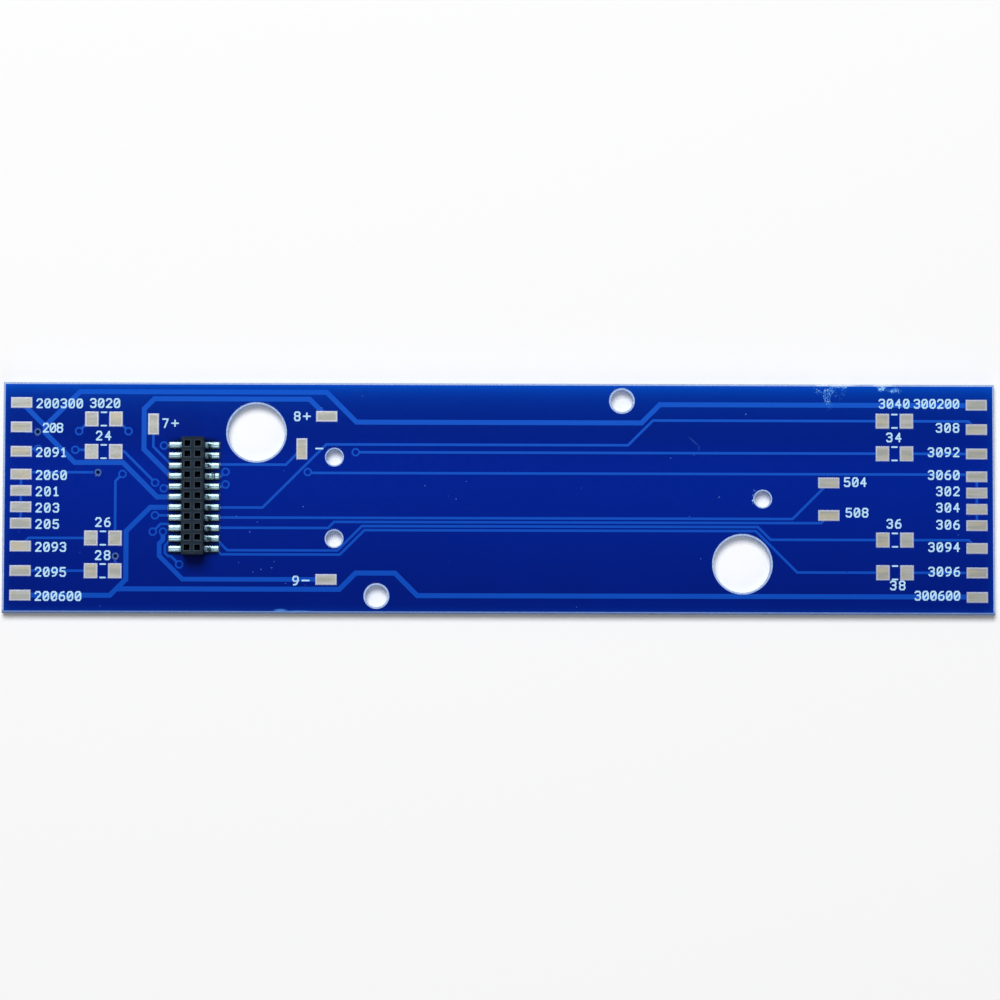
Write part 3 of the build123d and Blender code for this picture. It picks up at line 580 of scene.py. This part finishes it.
# Each edge's painted light: how strong it is and over what distance it dies away
to_ends = lacquer_tone_and_sheen.math("ABSOLUTE", lacquer_tone_and_sheen.axis("X"))
to_near_edge = lacquer_tone_and_sheen.math("MULTIPLY", across_board, -1.0)
painted_edge_lights = [
    (across_board, board_side, 0.66, 0.6 * mm),
    (across_board, board_side, 0.44, 2.2 * mm),
    (to_near_edge, board_side, 0.45, 0.3 * mm),
    (to_ends, board_end, 0.4, 0.4 * mm),
]
painted_edge_light = 0.0
for toward, edge, share, reach in painted_edge_lights:
    inward = lacquer_tone_and_sheen.math("DIVIDE", lacquer_tone_and_sheen.math("SUBTRACT", toward, edge), reach)
    faded = lacquer_tone_and_sheen.math("MULTIPLY", lacquer_tone_and_sheen.math("EXPONENT", inward), share)
    painted_edge_light = lacquer_tone_and_sheen.math("ADD", painted_edge_light, faded)
lacquer_tone_and_sheen.put_out(
    Colour=lacquer_tone_and_sheen.mix(
        lacquer_tone_and_sheen.math("MINIMUM", painted_edge_light, 1.0), clear_of_edges, edge_light_colour
    )
)


def gloss(lacquer, body):
    """The wet-looking surface of every part of the lacquer, with a little dust cured in."""
    grain(
        lacquer, scale=1500.0, detail=2.0, smooth=0.08, rough=0.12, depth=0.006 * mm, strength=0.3
    )
    lacquer.set(
        Base_Color=dusted(lacquer, body, lacquer_dust, scale=800.0, share=0.035),
        Specular_IOR_Level=0.13,
    )


def plain_lacquer(name):
    """Lacquer away from the component side's tracks and wear."""
    lacquer = Finish(name)
    gloss(lacquer, lacquer.placed(lacquer_tone_and_sheen, Tracks=0.0)["Colour"])
    return lacquer


def off_centre(finish, turned):
    """How far a point is from the middle of a Mapping node's place, on the board's plane."""
    flat = finish.node("VectorMath", {0: turned, 1: (1, 1, 0)}, operation="MULTIPLY").outputs[0]
    return finish.node("VectorMath", {0: flat}, operation="LENGTH").outputs["Value"]


lacquer_top = Finish("blue_lacquer_component_side")
ridge_middle = (mask_field_top + mask_ridge_top) / 2
on_copper = lacquer_top.math("GREATER_THAN", lacquer_top.axis("Z"), ridge_middle)
body = lacquer_top.placed(lacquer_tone_and_sheen, Tracks=on_copper)["Colour"]
# Painted shade, with some flux residue, darkens the lacquer between the joints and by the housing
shade_and_flux_share = near_socket(lacquer_top, (3.8 * mm, 1.8 * mm), (7.6 * mm, 6.7 * mm))
body = lacquer_top.mix(lacquer_top.math("MULTIPLY", shade_and_flux_share, 0.95), body, shade_and_flux_colour)
for x, y, half_length, half_width, slant, deep in bruises:
    turned = lacquer_top.node(
        "Mapping",
        {
            "Vector": lacquer_top.place,
            "Location": (x * mm, y * mm, 0),
            "Rotation": (0, 0, radians(slant)),
            "Scale": (half_length * mm, half_width * mm, 1),
        },
        vector_type="TEXTURE",
    ).outputs["Vector"]
    dent = lacquer_top.band(off_centre(lacquer_top, turned), 1.0, 0.3, 0.0, deep)
    body = lacquer_top.mix(dent, body, bruised)
flecks = lacquer_top.noise(5600.0, 3.0, 0.8)
chips = lacquer_top.band(lacquer_top.noise(3400.0), 0.52, 0.64)
scuff_outline = lacquer_top.band(lacquer_top.noise(1100.0), 0.35, 0.65, -0.3, 0.5)
for x, y, reach_x, reach_y, share in scuffs:
    turned = lacquer_top.node(
        "Mapping",
        {
            "Vector": lacquer_top.place,
            "Location": (x * mm, y * mm, 0),
            "Scale": (reach_x * mm, reach_y * mm, 1),
        },
        vector_type="TEXTURE",
    ).outputs["Vector"]
    off = lacquer_top.math("ADD", off_centre(lacquer_top, turned), scuff_outline)
    rubbed = lacquer_top.math("MULTIPLY", lacquer_top.band(off, 1.0, 0.35), 0.16 * share)
    bare = lacquer_top.band(lacquer_top.math("ADD", flecks, rubbed), 0.58, 0.68)
    bare = lacquer_top.math("MULTIPLY", bare, lacquer_top.band(off, 1.05, 0.9))
    body = lacquer_top.mix(bare, body, lacquer_top.mix(chips, bruised, chipped))
gloss(lacquer_top, body)
wear("solder_mask_top", lacquer_top)
lacquer_bottom = plain_lacquer("blue_lacquer_underside")
wear("solder_mask_bottom", lacquer_bottom)

# ---------------------------------------------------------------- hole lips
# The lacquer draws back from the unplated holes in a clean circle with a low rounded lip. The
# solids have a many-sided opening there, and these lips close its corners.
lip_steps = 72
# Each lip's middle and radius, in mm
hole_lips = [
    (-29.75, 8.0, 3.71), (29.75, -8.0, 3.71), (15.0, 12.0, 1.575), (-15.0, -12.0, 1.575),
    (-20.2, 5.0, 1.15), (-20.2, -5.0, 1.15), (32.25, 0.0, 1.15),
]
# How far out from that radius and how high above the lacquer, in mm
lip_profile = [(0.0, -0.022), (0.006, -0.004), (0.02, 0.002), (0.06, 0.0015), (0.09, -0.004)]


def spun_ring(shape, middle, profile, steps):
    """Spins (radius, height) points, in mm, about an upright line through the middle."""
    start = [shape.verts.new(middle + Vector((r * mm, 0, h * mm))) for r, h in profile]
    edges = [shape.edges.new(pair) for pair in zip(start, start[1:])]
    bmesh.ops.spin(
        shape,
        geom=start + edges,
        cent=middle,
        axis=(0, 0, 1),
        angle=2 * pi,
        steps=steps,
        use_merge=True,
    )


def lips(shape):
    for x, y, radius in hole_lips:
        profile = [(radius + out, up) for out, up in lip_profile]
        spun_ring(shape, Vector((x * mm, y * mm, mask_field_top)), profile, lip_steps)
    bmesh.ops.recalc_face_normals(shape, faces=shape.faces[:])


lacquer_lips = make_piece("hole_lips", lips, smooth=True)
lacquer_lips.data.materials.append(lacquer_top.material)
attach(lacquer_lips, "root")

# ---------------------------------------------------------------- bare vias
# Three plated holes that the lacquer leaves open. Their rings kept a thin grey film of tin, a
# low collar of lacquer stands round each, and lacquer that ran in plugs the bore.
bare_vias = [(-56.5, 8.2), (-49.1, 3.25), (-46.9, -7.0)]
via_steps = 28
thin_tin = Finish("thin_grey_tin")
film = grain(
    thin_tin, scale=7000.0, detail=2.0, smooth=0.35, rough=0.5, depth=0.003 * mm, strength=0.4
)
thin_tin.set(
    Base_Color=thin_tin.mix(film, colour(36, 74, 146), colour(62, 106, 178)),
    Metallic=0.05,
    Specular_IOR_Level=0.2,
)
# Radius and height above the copper, in mm
ring_profile = [(0.22, 0.001), (0.24, 0.012), (0.28, 0.016), (0.45, 0.014), (0.47, 0.01)]
collar_profile = [(0.42, 0.01), (0.44, 0.022), (0.5, 0.03), (0.56, 0.027)]
plug_profile = [(0.02, 0.002), (0.14, 0.002), (0.255, 0.006)]


def round_vias(shape, profile):
    for x, y in bare_vias:
        middle = Vector((x * mm, y * mm + artwork_shift, copper_top))
        spun_ring(shape, middle, profile, via_steps)


def via_rings(shape):
    round_vias(shape, ring_profile)
    bmesh.ops.recalc_face_normals(shape, faces=shape.faces[:])


def via_collars(shape):
    round_vias(shape, collar_profile)
    bmesh.ops.recalc_face_normals(shape, faces=shape.faces[:])


def via_mouths(shape):
    round_vias(shape, plug_profile)
    mouth = [e for e in shape.edges if e.is_boundary and e.calc_length() < 0.01 * mm]
    bmesh.ops.holes_fill(shape, edges=mouth, sides=0)
    bmesh.ops.recalc_face_normals(shape, faces=shape.faces[:])


bare_via_rings = make_piece("bare_via_rings", via_rings, smooth=True)
bare_via_rings.data.materials.append(thin_tin.material)
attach(bare_via_rings, "root")

lacquer_plug = Finish("blue_lacquer_plug")
sunk = grain(
    lacquer_plug, scale=4000.0, detail=2.0, smooth=0.08, rough=0.14, depth=0.004 * mm, strength=0.4
)
lacquer_plug.set(
    Base_Color=lacquer_plug.mix(sunk, colour(0, 8, 46), colour(0, 18, 76)),
    Specular_IOR_Level=0.04,
)
lacquer_collar = make_piece("bare_via_collars", via_collars, smooth=True)
lacquer_collar.data.materials.append(lacquer_bottom.material)
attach(lacquer_collar, "root")
bare_via_plugs = make_piece("bare_via_plugs", via_mouths, smooth=True)
bare_via_plugs.data.materials.append(lacquer_plug.material)
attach(bare_via_plugs, "root")

# ---------------------------------------------------------------- closed vias
# Plated holes that the lacquer closes. The ring of copper shows as a lighter circle, and the
# lacquer that sinks into the bore makes a small dark dimple in it.
closed_vias = [
    (-51.45, 8.3), (-51.9, 6.0), (-56.45, 6.1), (-45.4, 8.3), (-46.1, 3.05), (-42.1, 2.0),
    (-41.05, 6.55), (-41.05, 1.3), (-33.5, 3.35), (-33.5, 1.8), (-42.1, -2.0), (-42.35, -4.0),
    (-41.1, -4.0), (-39.1, -8.0), (-17.6, 5.8), (-23.45, 3.35),
]
dimple_radius = 0.32 * mm
dimple_edge = 0.1 * mm
dimple_rise = 0.004 * mm
dimple_depth = 0.003 * mm


def dimples(shape):
    for x, y in closed_vias:
        rim = bmesh.ops.create_circle(
            shape,
            cap_ends=True,
            segments=20,
            radius=dimple_radius,
            matrix=Matrix.Translation((x * mm, y * mm + artwork_shift, mask_ridge_top)),
        )["verts"]
        floor = rim[0].link_faces[0]
        wall = bmesh.ops.extrude_face_region(shape, geom=[floor])["geom"]
        raised = [v for v in wall if isinstance(v, bmesh.types.BMVert)]
        bmesh.ops.translate(shape, verts=raised, vec=(0, 0, dimple_rise))
        top = [f for f in wall if isinstance(f, bmesh.types.BMFace)]
        bmesh.ops.inset_region(shape, faces=top, thickness=dimple_edge, depth=-dimple_depth)


via_dimples = make_piece("via_dimples", dimples)
via_dimples.data.materials.append(plain_lacquer("blue_lacquer_in_vias").material)
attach(via_dimples, "root")

# ---------------------------------------------------------------- print
# Screen-printed epoxy ink, very pale blue: two dashes in each resistor place, a plain number
# beside every pad, and plus or minus signs at the motor and capacitor pads.
digit_height = 1.2 * mm
digit_width = 0.8 * mm
stroke_radius = 0.095 * mm
ink_thickness = 0.012 * mm
ink_gap = 0.002 * mm  # keeps the ink's foot out of the lacquer
print_step = 0.05 * mm  # the grid that each sign is cut from
print_lift = 1.0 * mm  # the signs are drawn this far up, then laid on the lacquer
dash_length = 0.8 * mm
dash_offset = 0.82 * mm


def ink_relief(finish):
    return grain(
        finish, scale=6000.0, detail=3.0, smooth=0.5, rough=0.7, depth=0.006 * mm, strength=0.5
    )


ink = Finish("pale_ink")
ink_grain = ink_relief(ink)
ink.set(
    Base_Color=ink.mix(
        ink.band(ink_grain, 0.3, 0.62), colour(150, 206, 251), colour(200, 238, 255)
    )
)
wear("printed_marks", ink)

# The plotter's strokes for each sign, on a box one wide and one high
six = [(0.85, 1), (0.35, 0.92), (0, 0.55), (0, 0.2), (0.2, 0), (0.8, 0), (1, 0.2), (1, 0.4)]
six += [(0.8, 0.57), (0.25, 0.57), (0, 0.42)]
strokes = {
    "0": [
        [(0, 0.2), (0, 0.8), (0.22, 1), (0.78, 1), (1, 0.8)],
        [(1, 0.8), (1, 0.2), (0.78, 0), (0.22, 0), (0, 0.2)],
        [(0.2, 0.25), (0.8, 0.75)],
    ],
    "1": [[(0.15, 0.8), (0.5, 1), (0.5, 0)], [(0.15, 0), (0.85, 0)]],
    "2": [[(0, 0.8), (0.2, 1), (0.8, 1), (1, 0.8), (1, 0.65), (0, 0), (1, 0)]],
    "3": [
        [(0, 0.86), (0.2, 1), (0.8, 1), (1, 0.84), (1, 0.66), (0.75, 0.53), (0.4, 0.53)],
        [(0.75, 0.53), (1, 0.38), (1, 0.18), (0.8, 0), (0.2, 0), (0, 0.14)],
    ],
    "4": [[(0.72, 0), (0.72, 1), (0, 0.34), (1, 0.34)]],
    "5": [
        [(0.95, 1), (0.08, 1), (0.02, 0.56), (0.75, 0.6), (1, 0.42), (1, 0.18), (0.8, 0)],
        [(0.8, 0), (0.2, 0), (0, 0.14)],
    ],
    "6": [six],
    "7": [[(0, 1), (1, 1), (0.35, 0)]],
    "8": [
        [(0.22, 0.53), (0, 0.7), (0, 0.84), (0.2, 1), (0.8, 1), (1, 0.84), (1, 0.7), (0.78, 0.53)],
        [(0.78, 0.53), (0.22, 0.53), (0, 0.36), (0, 0.18), (0.2, 0), (0.8, 0), (1, 0.18)],
        [(1, 0.18), (1, 0.36), (0.78, 0.53)],
    ],
    "9": [[(1 - x, 1 - y) for x, y in six]],
    "+": [[(0, 0.5), (1, 0.5)], [(0.5, 0.04), (0.5, 0.96)]],
    "-": [[(0, 0.5), (1, 0.5)]],
}
# Each number, its left and right edges and the middle of its height
signs = [
    ("200300", -56.7, -51.0, 11.7), ("208", -55.9, -53.4, 8.7), ("2091", -56.7, -52.9, 5.7),
    ("2060", -56.7, -52.9, 2.9), ("201", -56.7, -53.8, 0.9), ("203", -56.7, -53.8, -1.1),
    ("205", -56.7, -53.8, -3.1), ("2093", -56.7, -52.9, -5.9), ("2095", -56.7, -52.9, -8.95),
    ("200600", -56.7, -51.0, -11.9),
    ("3020", -50.15, -46.45, 11.75), ("24", -49.4, -47.5, 7.75), ("26", -49.4, -47.5, -2.85),
    ("28", -49.4, -47.5, -6.9),
    ("7", -41.45, -40.35, 9.3), ("8", -25.35, -24.2, 10.2), ("9", -25.45, -24.3, -9.95),
    ("504", 42.2, 45.0, 2.3), ("508", 42.4, 45.2, -1.45),
    ("3040", 46.5, 50.3, 11.95), ("300200", 50.8, 56.4, 11.95), ("34", 47.4, 49.3, 7.8),
    ("308", 53.5, 56.4, 9.0), ("3092", 52.5, 56.4, 6.0), ("3060", 52.5, 56.4, 3.2),
    ("302", 53.5, 56.4, 1.2), ("304", 53.5, 56.4, -0.8), ("306", 53.5, 56.4, -2.9),
    ("3094", 52.5, 56.4, -5.65), ("3096", 52.5, 56.4, -8.65), ("300600", 50.8, 56.4, -11.6),
    ("36", 47.4, 49.25, -2.8), ("38", 47.8, 49.7, -10.35),
    ("+", -40.2, -39.25, 9.3), ("+", -24.1, -23.1, 10.2),
    ("-", -24.15, -23.15, -9.93), ("-", -22.55, -21.55, 6.24),
]


def stroke_point(point, lines):
    """The nearest point on a sign's strokes."""
    nearest = None
    for line in lines:
        for start, end in zip(line, line[1:]):
            on_line, share = intersect_point_line(point, start, end)
            on_line = start if share < 0 else end if share > 1 else on_line
            if nearest is None or (point - on_line).length < (point - nearest).length:
                nearest = on_line
    return nearest


def draw_sign(shape, sign, left, low, width, height):
    """Cuts one sign out of a fine grid, then draws its outline round the strokes."""
    inner = (width - 2 * stroke_radius, height - 2 * stroke_radius)
    lines = [
        [
            Vector((left + stroke_radius + x * inner[0], low + stroke_radius + y * inner[1], 0))
            for x, y in line
        ]
        for line in strokes[sign]
    ]
    cells = [max(2, round(size / print_step)) for size in (width, height)]
    sheet = bmesh.new()
    bmesh.ops.create_grid(
        sheet,
        x_segments=cells[0],
        y_segments=cells[1],
        size=1,
        matrix=Matrix.Translation((left + width / 2, low + height / 2, 0))
        @ Matrix.Diagonal((width / 2, height / 2, 1, 1)),
    )
    blank = []
    for face in sheet.faces:
        middle = face.calc_center_median()
        if (middle - stroke_point(middle, lines)).length > stroke_radius:
            blank.append(face)
    bmesh.ops.delete(sheet, geom=blank, context="FACES")
    for vert in sheet.verts:
        if vert.is_boundary:
            nearest = stroke_point(vert.co, lines)
            out = vert.co - nearest
            if out.length > stroke_radius / 4:
                vert.co = nearest + out.normalized() * stroke_radius
    bmesh.ops.translate(sheet, verts=sheet.verts, vec=(0, 0, mask_ridge_top + print_lift))
    drawn = bpy.data.meshes.new("sign")
    sheet.to_mesh(drawn)
    sheet.free()
    shape.from_mesh(drawn)
    bpy.data.meshes.remove(drawn)


def draw_signs(shape):
    for text, left, right, middle in signs:
        row = middle * mm + artwork_shift
        if text in "+-":
            size = (right - left) * mm
            height = size if text == "+" else 2 * stroke_radius
            draw_sign(shape, text, left * mm, row - height / 2, size, height)
            continue
        pitch = ((right - left) * mm - digit_width) / max(1, len(text) - 1)
        single = pitch / 2 if len(text) == 1 else 0
        for place, sign in enumerate(text):
            start = left * mm + place * pitch + single
            draw_sign(shape, sign, start, row - digit_height / 2, digit_width, digit_height)


def draw_dashes(shape):
    for end in (-1, 1):
        for row in resistor_rows:
            for side in (-1, 1):
                left = end * resistor_column - dash_length / 2
                low = row * mm + artwork_shift + side * dash_offset - stroke_radius
                draw_sign(shape, "-", left, low, dash_length, 2 * stroke_radius)


def draw_print(shape):
    draw_signs(shape)
    draw_dashes(shape)


numbers = make_piece("numbers_and_signs", draw_print)
settle = numbers.modifiers.new("settle_on_lacquer", "SHRINKWRAP")
settle.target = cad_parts["solder_mask_top"]
settle.wrap_method = "PROJECT"
settle.use_project_z = True
settle.use_negative_direction = True
settle.use_positive_direction = False
settle.offset = ink_gap
thickness = numbers.modifiers.new("ink_thickness", "SOLIDIFY")
thickness.thickness = ink_thickness
thickness.offset = 1
bpy.context.view_layer.update()
printed = numbers.evaluated_get(bpy.context.evaluated_depsgraph_get())
printed = bpy.data.meshes.new_from_object(printed)
numbers.modifiers.clear()
numbers.data = printed
numbers.data.materials.append(ink.material)
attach(numbers, "root")
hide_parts("printed_marks")

# ---------------------------------------------------------------- stray ink
# Specks of the same ink that fell beside the print and cured where they lay, most of them a
# tenth of a millimetre across and so thin that the lacquer's blue comes through.
thin_ink = Finish("thin_pale_ink")
thin_ink.set(
    Base_Color=thin_ink.mix(ink_relief(thin_ink), colour(34, 72, 178), colour(70, 112, 210))
)
speck_height = 0.015 * mm
full_specks = [(-21.8, 11.25), (31.0, 0.0)]
thin_specks = [
    (-32.15, -2.1), (-29.6, -2.75), (-30.5, -4.0), (-31.85, -7.75), (-30.1, -8.9), (-29.1, -8.6),
    (-27.5, -7.65), (-27.8, -8.4), (-26.1, -10.3), (-26.4, 3.5), (-24.0, -0.9), (-4.05, 2.25),
    (-9.1, 1.7), (-5.3, 0.1), (-16.8, 12.7), (21.8, 11.9), (23.85, 5.6), (21.0, 5.2),
    (26.9, 0.4), (23.3, -2.0), (24.65, -7.15), (9.4, -2.65), (9.45, -13.1), (30.2, 10.6),
    (31.3, 1.2), (56.2, -4.15), (31.2, 0.6), (31.0, -0.4),
]


def ink_specks(shape):
    for number, (x, y) in enumerate(full_specks + thin_specks):
        others = set(shape.faces)
        across = (0.055 + 0.03 * sin(5.1 * number) ** 2) * mm
        along = across * (1 + 0.5 * sin(3.7 * number) ** 2)
        low = mask_field_top + 0.004 * mm
        bmesh.ops.create_icosphere(
            shape,
            subdivisions=2,
            radius=1,
            matrix=Matrix.Translation((x * mm, y * mm + artwork_shift, low))
            @ Matrix.Rotation(2.4 * number, 4, "Z")
            @ Matrix.Diagonal((along, across, speck_height, 1)),
        )
        for face in shape.faces:
            if face not in others:
                face.material_index = 0 if number < len(full_specks) else 1


stray_ink = make_piece("ink_specks", ink_specks, smooth=True)
stray_ink.data.materials.append(ink.material)
stray_ink.data.materials.append(thin_ink.material)
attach(stray_ink, "root")

# ---------------------------------------------------------------- socket housing
# One moulding of glass-filled black plastic. The mould leaves it matt, with glass fibres near the
# surface. Its colour is a little blue, as painted reflection of the window, and its chamfers at
# the cavities' mouths are paler, as painted highlight.
moulding = Finish("moulded_black_plastic")
fibres = grain(
    moulding, scale=14000.0, detail=3.0, smooth=0.5, rough=0.66, depth=0.01 * mm, strength=0.5
)
flow = moulding.noise(1400.0, 2.0)
# The plastic's colours are a little blue: painted reflection of the window
plastic = moulding.mix(moulding.band(fibres, 0.4, 0.7), colour(13, 28, 40), colour(26, 43, 57))
plastic = moulding.mix(moulding.band(flow, 0.45, 0.75, 0.0, 0.4), plastic, colour(45, 60, 78))
plastic = dusted(moulding, plastic, colour(80, 95, 110), scale=2600.0, share=0.1)
# Painted highlight: the chamfers at the cavities' mouths are painted paler
chamfer_depth = 0.12 * mm
into_mouth = moulding.math("SUBTRACT", socket_high.z, moulding.axis("Z"))
chamfer_highlight = moulding.math(
    "MULTIPLY",
    moulding.band(into_mouth, 0.002 * mm, 0.01 * mm),
    moulding.band(into_mouth, chamfer_depth + 0.01 * mm, chamfer_depth - 0.01 * mm),
)
moulding.set(
    Base_Color=moulding.mix(chamfer_highlight, plastic, colour(66, 80, 96)), Specular_IOR_Level=0.12
)
wear("socket_housing", moulding)

# ---------------------------------------------------------------- contacts
# Twenty-two strips of springy bronze, stamped, bent and tinned: two bowed tines stand in each
# cavity, painted near-black as painted shade, and a tail reaches out over the land.
tinned_strip = Finish("bright_tinned_strip")
roll_marks = tinned_strip.placed(streaks, Scale=4000.0, Stretch=(0.3, 4.0, 1.0))["Streak"]
# Painted shade: inside the housing the strips are painted near-black and not metallic
cavity_shade = near_socket(
    tinned_strip, (socket_half_width - 0.09 * mm, socket_half_width - 0.11 * mm)
)
tin_on_tails = tinned_strip.mix(roll_marks, colour(84, 108, 124), colour(122, 148, 162))
tinned_strip.set(
    Base_Color=tinned_strip.mix(cavity_shade, tin_on_tails, colour(5, 13, 20)),
    Metallic=tinned_strip.math("SUBTRACT", 1.0, cavity_shade),
    Specular_IOR_Level=0.04,
    Roughness=tinned_strip.band(roll_marks, 0.3, 0.7, 0.42, 0.54),
    Normal=tinned_strip.bump(roll_marks, 0.002 * mm, 0.4),
)
for node_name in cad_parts:
    if node_name.startswith("contact_"):
        wear(node_name, tinned_strip)

# ---------------------------------------------------------------- solder
# Reflowed solder at the twenty-two tails: it wets the whole land, climbs the strip's sides
# and the toe, and sets bright with hollow flanks.
pin_pitch = 1.27 * mm
pin_count = 22
first_row = socket_centre + 5 * pin_pitch
solder_inner = socket_half_width + 0.03 * mm
solder_outer = 3.165 * mm
solder_width = 0.82 * mm
front_height = 0.55 * mm  # the front row's solder covers the strips' knees
rear_heel_height = 0.42 * mm  # the rear row's stops under them
rear_crest_height = 0.47 * mm
foot_rise = 0.001 * mm  # keeps the solder's foot clear of the land's face
rim_rise = 0.003 * mm
# Between these heights the joints are painted dark and less metallic: painted shade
foot_shade_top = 0.26 * mm
foot_shade_bottom = 0.12 * mm
# How deep a gap the knee leaves in each rear joint, as a share of its height. One joint's gap
# runs right across it, nearer the toe.
rear_gaps = [0.9, 0.86, 0.25, 0.48, 0.15, 0.1, 0.82, 0.88, 0.8, 0.5, 0.65]
split_joint = 3
bright_solder = Finish("bright_solder")
dendrites = grain(
    bright_solder,
    scale=5000.0,
    detail=3.0,
    smooth=0.4,
    rough=0.52,
    depth=0.004 * mm,
    strength=0.35,
)
# Painted shade low on each joint
joint_foot_shade = bright_solder.band(
    bright_solder.axis("Z"), copper_top + foot_shade_top, copper_top + foot_shade_bottom
)
# The solder's colours are tinted blue: painted reflection of the board
tinted_solder = bright_solder.mix(dendrites, colour(130, 160, 174), colour(168, 200, 210))
# Painted reflection: next to the housing the solder is painted darker, as the dark housing
# reflects in it
housing_shade = near_socket(
    bright_solder, (socket_half_width + 0.9 * mm, socket_half_width - 0.2 * mm)
)
tinted_solder = bright_solder.mix(
    bright_solder.math("MULTIPLY", housing_shade, 0.5), tinted_solder, colour(60, 78, 98)
)
bright_solder.set(
    Base_Color=bright_solder.mix(joint_foot_shade, tinted_solder, colour(8, 16, 34)),
    Metallic=bright_solder.math("SUBTRACT", 1.0, bright_solder.math("MULTIPLY", joint_foot_shade, 0.6)),
    Specular_IOR_Level=0.06,
)


def fillet_height(along, across, plump, skew, gap, split):
    """Height of one joint: along runs from -1 at the housing to 1, across from -1 to 1."""
    ridge = front_height * (1 + 0.3 * (plump - 1))
    if gap:
        to_toe = max(0.0, min(1.0, (along + 0.5) / 0.9))
        rise = rear_crest_height * plump - rear_heel_height
        ridge = rear_heel_height + rise * to_toe**2 * (3 - 2 * to_toe)
    # Small sags along the joint, its crown, and the hollow line beside the strip
    ridge -= 0.01 * mm * cos(pi * (1.6 * along + 0.3 * skew)) ** 2
    ridge -= 0.08 * mm * (across + 0.12 * skew) ** 2
    hollow = exp(-(((across + 0.2 + 0.14 * skew * along) / 0.13) ** 2))
    ridge -= (0.028 + 0.016 * skew) * mm * hollow
    gap_place = 0.1 if split else -0.42
    dip = exp(-(((along - gap_place + 0.06 * skew) / 0.12) ** 2))
    if not split:
        dip /= 1 + exp(9 * (across - 0.05))
    ridge *= 1 - gap * dip
    toe = max(0.0, 1 - max(0.0, (along - 0.4) / 0.6) ** 12) ** 0.5
    flank = max(0.0, 1 - abs(across) ** 30) ** 0.5
    return ridge * toe * flank


def solder_fillets(shape):
    half_length = (solder_outer - solder_inner) / 2
    half_width = solder_width / 2
    for pin in range(pin_count):
        row = pin // 2
        side = -1 if pin % 2 else 1
        # No two joints are quite alike in how full they are and which way they lean
        plump = 1 + 0.12 * sin(7.3 * pin + 1.0)
        skew = sin(3.1 * pin + 0.4)
        gap = 0.0 if side < 0 else rear_gaps[row]
        split = side > 0 and row == split_joint
        reach = side * (solder_inner + solder_outer) / 2
        middle = Vector((socket_middle + reach, first_row - row * pin_pitch, copper_top))
        joint = bmesh.ops.create_grid(
            shape,
            x_segments=24,
            y_segments=14,
            size=1,
            matrix=Matrix.Translation(middle) @ Matrix.Diagonal((half_length, half_width, 1, 1)),
        )["verts"]
        for vert in joint:
            # The grid's lines crowd towards the rim, where the flanks are steep
            along = side * sin(pi / 2 * max(-1.0, min(1.0, (vert.co.x - middle.x) / half_length)))
            across = sin(pi / 2 * max(-1.0, min(1.0, (vert.co.y - middle.y) / half_width)))
            corner = 1 - 0.14 * max(0.0, (along - 0.7) / 0.3) ** 2
            height = fillet_height(along, across, plump, skew, gap, split)
            place = (side * along * half_length, across * corner * half_width, rim_rise + height)
            vert.co = middle + Vector(place)
        rim = list({e for v in joint for e in v.link_edges if len(e.link_faces) == 1})
        wall = bmesh.ops.extrude_edge_only(shape, edges=rim)["geom"]
        for vert in wall:
            if isinstance(vert, bmesh.types.BMVert):
                vert.co.z = copper_top + foot_rise
        foot = [e for e in wall if isinstance(e, bmesh.types.BMEdge) and len(e.link_faces) == 1]
        bmesh.ops.holes_fill(shape, edges=foot, sides=0)
    bmesh.ops.recalc_face_normals(shape, faces=shape.faces[:])
    creases = [e for e in shape.edges if len(e.link_faces) == 2 and e.calc_face_angle(0) > 1]
    for edge in creases:
        edge.smooth = False


solder_fillet = make_piece("solder_fillets", solder_fillets, smooth=True)
solder_fillet.data.materials.append(bright_solder.material)
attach(solder_fillet, "root")
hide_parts("solder_joints")
